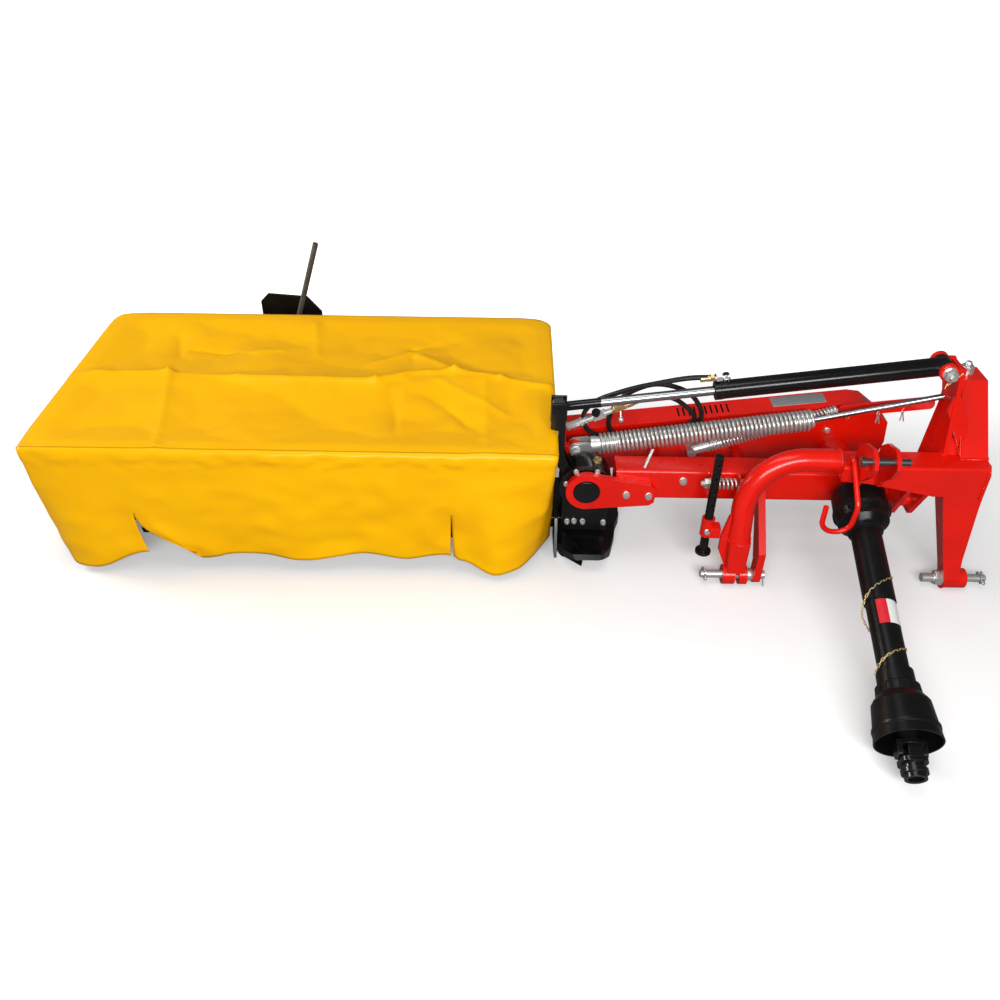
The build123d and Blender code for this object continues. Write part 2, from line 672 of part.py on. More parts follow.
# Small spring with its plug and the strap of holes that leads to the post
AUX_START = Vector(SPRING_START_X + 326, AUX_Y, SPRING_END_Z - 127)
AUX_END = Vector(SPRING_END_X + 83, AUX_Y, SPRING_END_Z - 3)
aux_dir = (AUX_END - AUX_START).normalized()
aux_slope = math.degrees(math.atan2(aux_dir.Z, aux_dir.X))
with BuildPart() as aux_spring:
    with BuildSketch(along(AUX_START.X, AUX_START.Z, aux_slope, AUX_Y)):
        Circle(AUX_RADIUS)
        Circle(AUX_RADIUS - AUX_WIRE, mode=Mode.SUBTRACT)
    extrude(amount=(AUX_END - AUX_START).length)
save(aux_spring, "aux_spring", ZINC)

STRAP_GAP = 2.4
STRAP_WIDE = 34.0
STRAP_THICK = 10.0
STRAP_END = Vector(WALL_LEFT - SEAT, CYL_Y + 34, CYL_BASE_Z - 128)
STRAP_HOLES = 5
STRAP_HOLE_PITCH = 36.0
strap_run = (STRAP_END - AUX_END).length
strap_dir = (STRAP_END - AUX_END).normalized()
strap_normal = strap_dir.cross(Vector(0, 0, 1)).normalized()
with BuildPart() as strap:
    with BuildSketch(Plane(origin=AUX_END, x_dir=strap_dir, z_dir=strap_normal)):
        with Locations((strap_run / 2, 0)):
            SlotOverall(strap_run - 2 * STRAP_GAP, STRAP_WIDE)
        with Locations(*[(40 + STRAP_HOLE_PITCH * index, 0) for index in range(STRAP_HOLES)]):
            Circle(6, mode=Mode.SUBTRACT)
    extrude(amount=STRAP_THICK / 2, both=True)
save(strap, "strap", RED)

with BuildPart() as aux_anchor:
    with BuildSketch(along(AUX_START.X, AUX_START.Z, aux_slope, AUX_Y)):
        Circle(AUX_RADIUS - AUX_WIRE - SEAT)
    extrude(amount=40)
    with BuildSketch(along(AUX_START.X, AUX_START.Z, aux_slope, AUX_Y)):
        Circle(AUX_RADIUS - 3)
    extrude(amount=-44)
    with BuildSketch(Plane.XZ.offset(-(COVER_FRONT - 0.3))):
        with Locations((AUX_START.X - 44, AUX_START.Z - 15)):
            Circle(13)
    extrude(amount=COVER_FRONT - 0.3 - (AUX_Y - 20))
    with BuildSketch(along(AUX_END.X, AUX_END.Z, aux_slope, AUX_Y)):
        Circle(AUX_RADIUS - AUX_WIRE - SEAT)
    extrude(amount=-30)
save(aux_anchor, "aux_anchor", ZINC)

# Break-away release: a short spring on its bolt in front of the beam
BREAK_X = (540.0, 604.0)
BREAK_Z = 278.0
BREAK_RADIUS = 16.0
BREAK_Y = BEAM_FRONT - 22
with BuildPart() as breakaway:
    with BuildSketch(Plane.YZ.offset(BREAK_X[0])):
        with Locations((BREAK_Y, BREAK_Z)):
            Circle(BREAK_RADIUS)
    extrude(amount=BREAK_X[1] - BREAK_X[0])
    with BuildSketch(Plane.YZ.offset(BREAK_X[0] - 44)):
        with Locations((BREAK_Y, BREAK_Z)):
            Circle(8)
    extrude(amount=BREAK_X[1] - BREAK_X[0] + 52)
save(breakaway, "breakaway_spring", ZINC)

with BuildPart() as breakaway_bracket:
    for x in (BREAK_X[0] - 8.3, BREAK_X[1] + 0.3):
        with BuildSketch(Plane.YZ.offset(x)):
            with Locations((BREAK_Y + 8, BREAK_Z)):
                Rectangle(27, 44)
            with Locations((BREAK_Y, BREAK_Z)):
                Circle(8.3, mode=Mode.SUBTRACT)
        extrude(amount=8)
save(breakaway_bracket, "breakaway_bracket", RED)

# Socket that clamps the parking stand, on an arm from the left foot
SOCKET_Z = 166.0
SOCKET_HIGH = 58.0
SOCKET_ARM = 14.0
SOCKET_ARM_HIGH = 34.0
arm_end = LEG_X - TUBE_OUTER / 2 - 20 - SEAT
with BuildPart() as stand_socket:
    with BuildSketch(Plane.XY.offset(SOCKET_Z - SOCKET_HIGH / 2)):
        with Locations((STAND_X, STAND_Y)):
            Circle(STAND_RADIUS + 6)
    extrude(amount=SOCKET_HIGH)
    with BuildSketch(Plane.XZ.offset(-(TUBE_Y + 6))):
        with Locations(((STAND_X + arm_end) / 2, SOCKET_Z - 8)):
            Rectangle(arm_end - STAND_X, SOCKET_ARM_HIGH)
    extrude(amount=-(STAND_Y - TUBE_Y - 6 + SOCKET_ARM / 2))
    with BuildSketch(Plane.XY.offset(SOCKET_Z - SOCKET_HIGH)):
        with Locations((STAND_X, STAND_Y)):
            Circle(STAND_RADIUS + RUN_FIT)
    extrude(amount=2 * SOCKET_HIGH, mode=Mode.SUBTRACT)
save(stand_socket, "stand_socket", RED)

# Stand leg with its round foot and its row of holes
STAND_HOLES = 4
STAND_HOLE_PITCH = 44.0
with BuildPart() as stand_leg:
    with BuildSketch(Plane.XY.offset(STAND_FOOT)):
        with Locations((STAND_X, STAND_Y)):
            Circle(22)
    extrude(amount=8)
    with BuildSketch(Plane.XY.offset(STAND_FOOT)):
        with Locations((STAND_X, STAND_Y)):
            Circle(STAND_RADIUS)
    extrude(amount=STAND_TOP - STAND_FOOT)
    with BuildSketch(Plane.XZ.offset(-STAND_Y)):
        with Locations(*[(STAND_X, STAND_TOP - 24 - STAND_HOLE_PITCH * index) for index in range(STAND_HOLES)]):
            Circle(4.5)
    extrude(amount=STAND_RADIUS + 1, both=True, mode=Mode.SUBTRACT)
save(stand_leg, "stand_leg", BLACK)

# Cutter bar: the flat gear case under the discs
with BuildPart() as cutter_bar:
    with BuildSketch(Plane.XY.offset(BAR_Z)):
        with Locations(((BAR_LEFT + BAR_RIGHT) / 2, BAR_Y)):
            Rectangle(BAR_RIGHT - BAR_LEFT, BAR_DEEP)
    extrude(amount=BAR_HIGH)
    fillet(cutter_bar.edges().filter_by(Axis.X), 14)
save(cutter_bar, "cutter_bar", BLACK)

# Skids under the bar, one for each disc, turned up at the front
disc_xs = [DISC_FIRST_X - DISC_PITCH * index for index in range(DISC_COUNT)]
SKID_WIDE = 150.0
with BuildPart() as bar_skids:
    for x in disc_xs:
        with BuildSketch(Plane.YZ.offset(x - SKID_WIDE / 2)):
            with BuildLine():
                Polyline(
                    (BAR_Y - BAR_DEEP / 2 - 40, BAR_Z + 10),
                    (BAR_Y - BAR_DEEP / 2 - 10, BAR_Z - 0.3),
                    (BAR_Y + BAR_DEEP / 2 + 12, BAR_Z - 0.3),
                    (BAR_Y + BAR_DEEP / 2 + 12, BAR_Z - 8),
                    (BAR_Y + 60, 0),
                    (BAR_Y - 20, 0),
                    (BAR_Y - BAR_DEEP / 2 - 34, BAR_Z - 12),
                    close=True,
                )
            make_face()
        extrude(amount=SKID_WIDE)
save(bar_skids, "bar_skids", BLACK)

# Gear housing that turns about the fold pivot
GEAR_FRONT = ARM_REAR + 5
GEAR_REAR = -82.0
GEAR_SHAFT = 17.0
with BuildPart() as gearbox:
    with BuildSketch(Plane.XZ.offset(-GEAR_REAR)):
        with Locations((HUB_X, HUB_Z)):
            Circle(GEAR_RADIUS)
        with Locations((HUB_X, (HUB_Z + BAR_Z + BAR_HIGH) / 2)):
            Rectangle(2 * GEAR_RADIUS - 20, HUB_Z - BAR_Z - BAR_HIGH - 0.6)
    extrude(amount=GEAR_REAR - GEAR_FRONT)
    with BuildSketch(Plane.XZ.offset(-(HUB_FACE_Y + 2))):
        with Locations((HUB_X, HUB_Z)):
            Circle(SHAFT_RADIUS)
    extrude(amount=-(GEAR_FRONT - HUB_FACE_Y - 2))
    with BuildSketch(Plane.XZ.offset(-(COVER_FRONT - 1))):
        with Locations((HUB_X, HUB_Z)):
            Circle(GEAR_SHAFT)
    extrude(amount=COVER_FRONT - 1 - GEAR_REAR)
save(gearbox, "bar_gearbox", BLACK)

# Black cap on the end of the pivot
with BuildPart() as hub_cap:
    with BuildSketch(Plane.XZ.offset(-(HUB_FACE_Y + 1.7))):
        with Locations((HUB_X, HUB_Z)):
            Circle(SHAFT_RADIUS - 2)
    extrude(amount=6)
    fillet(hub_cap.edges().group_by(Axis.Y)[0], 3)
save(hub_cap, "hub_cap", BLACK)

# Inner shoe: a sole plate with turned-up tip and side flange
SHOE_LEFT = CANOPY_RIGHT + 2
SHOE_WIDE = 197.0
with BuildPart() as inner_shoe:
    with BuildSketch(Plane.YZ.offset(SHOE_LEFT + 8)):
        with BuildLine():
            Polyline(
                (PIN_Y + 30, 44),
                (PIN_Y + 46, 52),
                (PIN_Y + 90, BAR_Z - 8),
                (BAR_Y + BAR_DEEP / 2 + 30, BAR_Z - 8),
                (BAR_Y + BAR_DEEP / 2 + 30, BAR_Z - 16),
                (BAR_Y + 60, 0),
                (PIN_Y + 100, 0),
                close=True,
            )
        make_face()
    extrude(amount=SHOE_WIDE)
    with BuildSketch(Plane.XY):
        with BuildLine():
            Polyline(
                (SHOE_LEFT, BAR_Y + BAR_DEEP),
                (SHOE_LEFT + 8 + SHOE_WIDE, BAR_Y + BAR_DEEP),
                (SHOE_LEFT + 8 + SHOE_WIDE, BAR_Y - 18),
                (SHOE_LEFT + SHOE_WIDE - 10, BAR_Y - 72),
                (SHOE_LEFT + SHOE_WIDE - 12, PIN_Y + 174),
                (SHOE_LEFT + SHOE_WIDE - 28, PIN_Y + 108),
                (SHOE_LEFT + SHOE_WIDE - 52, PIN_Y + 52),
                (SHOE_LEFT + SHOE_WIDE - 70, PIN_Y + 28),
                (SHOE_LEFT + 62, PIN_Y + 28),
                (SHOE_LEFT + 30, PIN_Y + 90),
                (SHOE_LEFT, PIN_Y + 150),
                close=True,
            )
        make_face()
    extrude(amount=2 * BAR_HIGH, mode=Mode.INTERSECT)
    with BuildSketch(Plane.YZ.offset(SHOE_LEFT)):
        with BuildLine():
            Polyline(
                (PIN_Y + 40, 44),
                (PIN_Y + 100, 140),
                (BAR_Y - BAR_DEEP / 2 - 2, 140),
                (BAR_Y - BAR_DEEP / 2 - 2, BAR_Z - 14),
                (PIN_Y + 90, BAR_Z - 14),
                close=True,
            )
        make_face()
    extrude(amount=8)
    with BuildSketch(Plane.XY.offset(BAR_Z - 8)):
        with Locations((195, BAR_Y - 10)):
            Rectangle(130, BAR_DEEP - 60)
    extrude(amount=7.7)
save(inner_shoe, "inner_shoe", BLACK)

# Outer shoe at the far end of the bar
with BuildPart() as outer_shoe:
    with BuildSketch(Plane.YZ.offset(BAR_LEFT - 8.3)):
        with BuildLine():
            Polyline(
                (BAR_Y - BAR_DEEP / 2 - 70, 50),
                (BAR_Y - BAR_DEEP / 2 - 20, 150),
                (BAR_Y + BAR_DEEP / 2 + 120, 150),
                (BAR_Y + BAR_DEEP / 2 + 160, 40),
                (BAR_Y + BAR_DEEP / 2 + 60, 0),
                (BAR_Y - BAR_DEEP / 2 - 10, 0),
                close=True,
            )
        make_face()
    extrude(amount=8)
    with BuildSketch(Plane.XY):
        with Locations((BAR_LEFT + 40, BAR_Y + 20)):
            Rectangle(96, BAR_DEEP + 80)
    extrude(amount=8)
    with BuildSketch(Plane.XY):
        with Locations((BAR_LEFT + 40, BAR_Y)):
            Rectangle(40, 100)
    extrude(amount=BAR_Z - 0.3)
save(outer_shoe, "outer_shoe", BLACK)

# Discs with two knives each, timed a quarter turn apart
DISC_Z = BAR_Z + BAR_HIGH
DISC_NECK = 36.0
DISC_THICK = 12.0
DISC_WAIST = 20.0
DOME_RADIUS = 110.0
DOME_HIGH = 26.0
KNIFE_WIDE = 44.0
KNIFE_THICK = 4.0
for index, x in enumerate(disc_xs):
    turn = 90.0 * (index % 2)
    with BuildPart() as disc:
        with BuildSketch(Plane.XY.offset(DISC_Z + SEAT)):
            with Locations((x, BAR_Y)):
                Circle(DISC_NECK)
        extrude(amount=DISC_GAP)
        with BuildSketch(Plane(origin=(x, BAR_Y, DISC_Z + DISC_GAP))):
            with Locations(Rotation(0, 0, turn)):
                Ellipse(DISC_RADIUS + 14, DISC_RADIUS - DISC_WAIST)
        extrude(amount=DISC_THICK)
        with BuildSketch(Plane(origin=(x, BAR_Y, DISC_Z + DISC_GAP + DISC_THICK))):
            Circle(DOME_RADIUS)
        extrude(amount=DOME_HIGH, taper=32)
        for side in (0, 180):
            with BuildSketch(Plane(origin=(x, BAR_Y, DISC_Z + DISC_GAP - KNIFE_THICK))):
                with Locations(Rotation(0, 0, turn + side)):
                    with Locations(((DISC_RADIUS - DISC_WAIST + KNIFE_REACH) / 2, 0)):
                        Rectangle(KNIFE_REACH - DISC_RADIUS + DISC_WAIST, KNIFE_WIDE)
            extrude(amount=KNIFE_THICK)
    save(disc, f"disc_{index + 1}", BLACK)

# Square-tube frame that carries the fabric, with its two stays on the bar
FRAME_TUBE = 24.0
FRAME_INSET = 16.0
FRAME_Z = CANOPY_TOP - CANOPY_CLOTH - SEAT - FRAME_TUBE
frame_wide = CANOPY_RIGHT - CANOPY_LEFT - 2 * FRAME_INSET
frame_deep = CANOPY_REAR - CANOPY_FRONT - 2 * FRAME_INSET
canopy_mid = ((CANOPY_LEFT + CANOPY_RIGHT) / 2, (CANOPY_FRONT + CANOPY_REAR) / 2)
CROSS_TUBE_Y = 150.0
STAY_XS = (BAR_LEFT + 14, CANOPY_RIGHT - 34)
STAY_WIDE = 24.0
with BuildPart() as canopy_frame:
    with BuildSketch(Plane.XY.offset(FRAME_Z)):
        with Locations(canopy_mid):
            RectangleRounded(frame_wide, frame_deep, CANOPY_CORNER - FRAME_INSET)
            RectangleRounded(
                frame_wide - 2 * FRAME_TUBE,
                frame_deep - 2 * FRAME_TUBE,
                CANOPY_CORNER - FRAME_INSET - FRAME_TUBE,
                mode=Mode.SUBTRACT,
            )
        with Locations((canopy_mid[0], CROSS_TUBE_Y)):
            Rectangle(frame_wide - 10, FRAME_TUBE)
    extrude(amount=FRAME_TUBE)
    with BuildSketch(Plane.XY.offset(BAR_Z + BAR_HIGH + SEAT)):
        with Locations(*[(x, BAR_Y + BAR_DEEP / 2 - 14) for x in STAY_XS]):
            Rectangle(STAY_WIDE, 10)
    extrude(amount=FRAME_Z + 4 - BAR_Z - BAR_HIGH)
    with BuildSketch(Plane.XY.offset(FRAME_Z)):
        with Locations(*[(x, (BAR_Y + BAR_DEEP / 2 + CROSS_TUBE_Y) / 2) for x in STAY_XS]):
            Rectangle(STAY_WIDE, CROSS_TUBE_Y - BAR_Y - BAR_DEEP / 2 + 20)
    extrude(amount=10)
save(canopy_frame, "canopy_frame", BLACK)

# Fabric guard: top sheet that sags between the tubes, and hanging skirts, open at the gear housing
# and at the knives
SAG_DEEP = 11.0
SAG_RUN = 150.0
SAG_MARGIN = 6.0
sag_long = frame_wide - 2 * (FRAME_TUBE + SAG_MARGIN)
sag_front = CANOPY_FRONT + FRAME_INSET + FRAME_TUBE + SAG_MARGIN
sag_rear = CANOPY_REAR - FRAME_INSET - FRAME_TUBE - SAG_MARGIN
sag_spans = (
    (sag_front, CROSS_TUBE_Y - FRAME_TUBE / 2 - SAG_MARGIN),
    (CROSS_TUBE_Y + FRAME_TUBE / 2 + SAG_MARGIN, sag_rear),
)
canopy_wide = CANOPY_RIGHT - CANOPY_LEFT
canopy_deep = CANOPY_REAR - CANOPY_FRONT
with BuildPart() as canopy:
    with BuildSketch(Plane.XY.offset(CANOPY_HEM)):
        with Locations(canopy_mid):
            RectangleRounded(canopy_wide, canopy_deep, CANOPY_CORNER)
    extrude(amount=CANOPY_TOP - CANOPY_HEM)
    with BuildSketch(Plane.XY.offset(CANOPY_HEM)):
        with Locations(canopy_mid):
            RectangleRounded(
                canopy_wide - 2 * CANOPY_CLOTH, canopy_deep - 2 * CANOPY_CLOTH, CANOPY_CORNER - CANOPY_CLOTH)
    extrude(amount=CANOPY_TOP - CANOPY_HEM - CANOPY_CLOTH, mode=Mode.SUBTRACT)
    for deep, mode in ((SAG_DEEP + CANOPY_CLOTH, Mode.ADD), (SAG_DEEP, Mode.SUBTRACT)):
        for near, far in sag_spans:
            for height, inset in ((CANOPY_TOP, 0), (CANOPY_TOP - deep, SAG_RUN)):
                with BuildSketch(Plane.XY.offset(height)):
                    with Locations((canopy_mid[0], (near + far) / 2)):
                        Rectangle(sag_long - 2 * inset, far - near - 2 * inset)
            loft(mode=mode)
    with BuildSketch(Plane.YZ.offset(CANOPY_RIGHT - 30)):
        with Locations(((CANOPY_FRONT + CANOPY_CORNER + CANOPY_REAR - CANOPY_CORNER) / 2, 200)):
            Rectangle(canopy_deep - 2 * CANOPY_CORNER, 2 * (CANOPY_TOP - CANOPY_CLOTH - 200))
    extrude(amount=60, mode=Mode.SUBTRACT)
    with BuildSketch(Plane.XZ.offset(-(CANOPY_REAR + 20))):
        with Locations((BAR_LEFT - 14, CANOPY_HEM + 75)):
            Rectangle(60, 150)
    extrude(amount=110, mode=Mode.SUBTRACT)
save(canopy, "canopy", AMBER)

# Lift ears on the gear housing, beside the guard, holding the rod eye of the cylinder
EAR_GAP = 34.0
EAR_THICK = 8.0
EAR_LEFT = CANOPY_RIGHT + 4
with BuildPart() as lift_ears:
    for side in (-1, 1):
        rear = CYL_Y + side * (EAR_GAP + EAR_THICK) / 2 + EAR_THICK / 2
        with BuildSketch(Plane.XZ.offset(-rear)):
            with BuildLine():
                Polyline(
                    (CYL_EYE_X + 20, CYL_EYE_Z + 12),
                    (CYL_EYE_X + 24, CYL_EYE_Z - 40),
                    (HUB_X - 50, HUB_Z + 92),
                    (HUB_X - 30, HUB_Z + 60),
                    (HUB_X - 64, HUB_Z + 30),
                    (EAR_LEFT, HUB_Z + 56),
                    (EAR_LEFT, CANOPY_TOP + 4),
                    (CYL_EYE_X - 20, CANOPY_TOP + 10),
                    (CYL_EYE_X - 20, CYL_EYE_Z),
                    close=True,
                )
            make_face()
            with Locations((CYL_EYE_X, CYL_EYE_Z)):
                Circle(22)
            with Locations((HUB_X, HUB_Z)):
                Circle(GEAR_RADIUS + SEAT, mode=Mode.SUBTRACT)
            with Locations((CYL_EYE_X, CYL_EYE_Z)):
                Circle(CYL_PIN_RADIUS + RUN_FIT, mode=Mode.SUBTRACT)
        extrude(amount=EAR_THICK)
save(lift_ears, "lift_ears", BLACK)

# Cylinder barrel with its base eye, and the chrome rod with its square eye block
cyl_run = math.hypot(CYL_BASE_X - CYL_EYE_X, CYL_BASE_Z - CYL_EYE_Z)
cyl_slope = math.degrees(math.atan2(CYL_BASE_Z - CYL_EYE_Z, CYL_BASE_X - CYL_EYE_X))
base_plane = along(CYL_BASE_X, CYL_BASE_Z, cyl_slope, CYL_Y)
eye_plane = along(CYL_EYE_X, CYL_EYE_Z, cyl_slope, CYL_Y)
BASE_EYE_RADIUS = 22.0
BASE_EYE_WIDE = LUG_GAP - 4
BASE_PIN_LONG = LUG_GAP + 2 * LUG_THICK
PORT_BACK = 27.0
PORT_RADIUS = 11.0
PORT_HIGH = 34.0
ELBOW_RADIUS = 8.0
ELBOW_HIGH = 40.0
ELBOW_LONG = 40.0
port_plane = Plane(
    origin=base_plane.offset(PORT_BACK - BARREL_LENGTH).origin,
    x_dir=base_plane.z_dir,
    z_dir=(-base_plane.z_dir.Z, 0, base_plane.z_dir.X),
)
with BuildPart() as cylinder_barrel:
    with BuildSketch(base_plane):
        Circle(BARREL_RADIUS)
    extrude(amount=-BARREL_LENGTH)
    with BuildSketch(eye_plane.offset(cyl_run - BARREL_LENGTH - 1)):
        Circle(ROD_RADIUS + RUN_FIT)
    extrude(amount=BARREL_LENGTH - 70, mode=Mode.SUBTRACT)
    with BuildSketch(Plane.XZ.offset(-(CYL_Y + BASE_EYE_WIDE / 2))):
        with Locations((CYL_BASE_X, CYL_BASE_Z)):
            Circle(BASE_EYE_RADIUS)
    extrude(amount=BASE_EYE_WIDE)
    with BuildSketch(Plane.XZ.offset(-(CYL_Y + BASE_PIN_LONG / 2))):
        with Locations((CYL_BASE_X, CYL_BASE_Z)):
            Circle(CYL_PIN_RADIUS)
    extrude(amount=BASE_PIN_LONG)
    with BuildSketch(port_plane.offset(ROD_RADIUS + 4)):
        Circle(PORT_RADIUS)
    extrude(amount=PORT_HIGH - ROD_RADIUS - 4)
    with BuildSketch(port_plane.offset(PORT_HIGH)):
        Circle(ELBOW_RADIUS)
    extrude(amount=ELBOW_HIGH - PORT_HIGH + ELBOW_RADIUS)
    with BuildSketch(Plane(origin=port_plane.offset(ELBOW_HIGH).origin, z_dir=-base_plane.z_dir)):
        Circle(ELBOW_RADIUS)
    extrude(amount=ELBOW_LONG)
save(cylinder_barrel, "cylinder_barrel", BLACK)

EYE_PLAY = 3.0
with BuildPart() as cylinder_rod:
    with BuildSketch(eye_plane):
        Circle(ROD_RADIUS)
    extrude(amount=cyl_run - BARREL_LENGTH + ROD_IN_BARREL)
    with BuildSketch(Plane.XZ.offset(-(CYL_Y + EAR_GAP / 2 - EYE_PLAY))):
        with Locations((CYL_EYE_X, CYL_EYE_Z)):
            RectangleRounded(34, 38, 8)
    extrude(amount=EAR_GAP - 2 * EYE_PLAY)
save(cylinder_rod, "cylinder_rod", CHROME)

CROSS_REACH = 23.0

# Input yoke of the driveshaft on the belt pulley shaft
joint = Vector(*SHAFT_JOINT)
YOKE_DEEP = 46.0
YOKE_CHEEK = 11.0
YOKE_HIGH = 36.0
YOKE_BRIDGE = 8.0
with BuildPart() as input_yoke:
    with BuildSketch(Plane.XZ.offset(-(BEAM_FRONT - SEAT))):
        with Locations((joint.X, joint.Z)):
            Circle(20)
    extrude(amount=BEAM_FRONT - SEAT - (joint.Y + YOKE_DEEP - 2))
    with BuildSketch(Plane.XZ.offset(-(joint.Y + YOKE_DEEP))):
        with Locations((joint.X, joint.Z)):
            Rectangle(2 * (CROSS_REACH + YOKE_CHEEK), YOKE_HIGH + 4)
    extrude(amount=YOKE_BRIDGE)
    for side in (-1, 1):
        with BuildSketch(Plane.YZ.offset(joint.X + side * (CROSS_REACH + SEAT + YOKE_CHEEK / 2) - YOKE_CHEEK / 2)):
            with Locations((joint.Y, joint.Z)):
                Circle(YOKE_HIGH / 2)
            with Locations((joint.Y + YOKE_DEEP / 2 - 2, joint.Z)):
                Rectangle(YOKE_DEEP - 4, YOKE_HIGH)
        extrude(amount=YOKE_CHEEK)
save(input_yoke, "input_yoke", BLACK)

# Driveshaft: cross, guards and outer yoke in line
drop = math.radians(SHAFT_DROP)
swing = math.radians(SHAFT_SWING)
shaft_dir = Vector(-math.sin(swing) * math.cos(drop), -math.cos(swing) * math.cos(drop), -math.sin(drop))
shaft_side = Vector(math.cos(swing), -math.sin(swing), 0)


def shaft_plane(distance):
    """Plane square to the driveshaft at a distance from its first cross."""
    return Plane(origin=joint + shaft_dir * distance, x_dir=shaft_side, z_dir=shaft_dir)


cross_axis = shaft_dir.cross(Vector(1, 0, 0)).normalized()
with BuildPart() as joint_cross:
    with BuildSketch(Plane.YZ.offset(joint.X - CROSS_REACH)):
        with Locations((joint.Y, joint.Z)):
            Circle(9)
    extrude(amount=2 * CROSS_REACH)
    with BuildSketch(Plane(origin=joint, z_dir=cross_axis)):
        Circle(9)
    extrude(amount=CROSS_REACH, both=True)
save(joint_cross, "joint_cross", ZINC)

# Plane that holds the driveshaft's axis, for the profiles that are turned about it
turning_plane = Plane(origin=joint, x_dir=shaft_dir, z_dir=shaft_side)
turning_axis = Axis(origin=joint, direction=shaft_dir)
GUARD_SPLIT = 330.0
RIB_COUNT = 16
with BuildPart() as guard_upper:
    with BuildSketch(turning_plane):
        with BuildLine():
            Polyline(
                (-14, BELL_RADIUS - 5),
                (-14, BELL_RADIUS - 1),
                (38, BELL_RADIUS),
                (42, BELL_RADIUS + 3),
                (52, BELL_RADIUS + 3),
                (54, BELL_RADIUS - 1),
                (74, BELL_RADIUS - 7),
                (80, BELL_RADIUS - 6),
                (83, BELL_RADIUS - 12),
                (97, GUARD_RADIUS + 9),
                (100, GUARD_RADIUS + 7),
                (112, GUARD_RADIUS + 6),
                (114, GUARD_RADIUS),
                (GUARD_SPLIT, GUARD_RADIUS),
                (GUARD_SPLIT, 0),
                (60, 0),
                (60, GUARD_RADIUS - 7),
                (26, GUARD_RADIUS - 7),
                (26, 0),
                (25, 0),
                (25, GUARD_RADIUS - 6),
                (62, GUARD_RADIUS - 6),
                (62, BELL_RADIUS - 12),
                (54, BELL_RADIUS - 5),
                close=True,
            )
        make_face()
    revolve(axis=turning_axis)
    with BuildSketch(shaft_plane(26)):
        Circle(GUARD_RADIUS - 6.5)
    extrude(amount=40)
    with BuildSketch(shaft_plane(57)):
        with PolarLocations(BELL_RADIUS + 2, RIB_COUNT):
            Rectangle(14, 9)
    extrude(amount=14, mode=Mode.SUBTRACT)
    for side in (-1, 1):
        ear_start = joint + cross_axis * side * (CROSS_REACH + SEAT)
        with BuildSketch(Plane(origin=ear_start, x_dir=shaft_side, z_dir=cross_axis * side)):
            Circle(15)
            with Locations((0, -side * 16)):
                Rectangle(30, 32)
        extrude(amount=9)
save(guard_upper, "guard_upper", BLACK)

# Lower guard: the sliding tube, its collar, the ribbed shoulder and the bell
LOWER_COLLAR = GUARD_SPLIT + 190
BELL_MOUTH_LOWER = LOWER_COLLAR + 180
with BuildPart() as guard_lower:
    with BuildSketch(turning_plane):
        with BuildLine():
            Polyline(
                (GUARD_SPLIT + SEAT, 0),
                (GUARD_SPLIT + SEAT, GUARD_RADIUS - 3),
                (LOWER_COLLAR, GUARD_RADIUS - 3),
                (LOWER_COLLAR + 2, GUARD_RADIUS + 4),
                (LOWER_COLLAR + 38, GUARD_RADIUS + 5),
                (LOWER_COLLAR + 42, GUARD_RADIUS + 12),
                (LOWER_COLLAR + 66, GUARD_RADIUS + 14),
                (LOWER_COLLAR + 78, BELL_RADIUS - 10),
                (LOWER_COLLAR + 86, BELL_RADIUS - 5),
                (LOWER_COLLAR + 144, BELL_RADIUS + 1),
                (LOWER_COLLAR + 146, BELL_RADIUS + 4),
                (LOWER_COLLAR + 153, BELL_RADIUS + 4),
                (LOWER_COLLAR + 155, BELL_RADIUS + 2),
                (BELL_MOUTH_LOWER, BELL_RADIUS + 5),
                (BELL_MOUTH_LOWER, BELL_RADIUS + 1),
                (LOWER_COLLAR + 96, BELL_RADIUS - 9),
                (LOWER_COLLAR + 92, 22),
                (BELL_MOUTH_LOWER - 2, 22),
                (BELL_MOUTH_LOWER - 2, 0),
                close=True,
            )
        make_face()
    revolve(axis=turning_axis)
    with BuildSketch(shaft_plane(LOWER_COLLAR + 45)):
        with PolarLocations(GUARD_RADIUS + 16, RIB_COUNT):
            Rectangle(12, 9)
    extrude(amount=18, mode=Mode.SUBTRACT)
save(guard_lower, "guard_lower", BLACK)

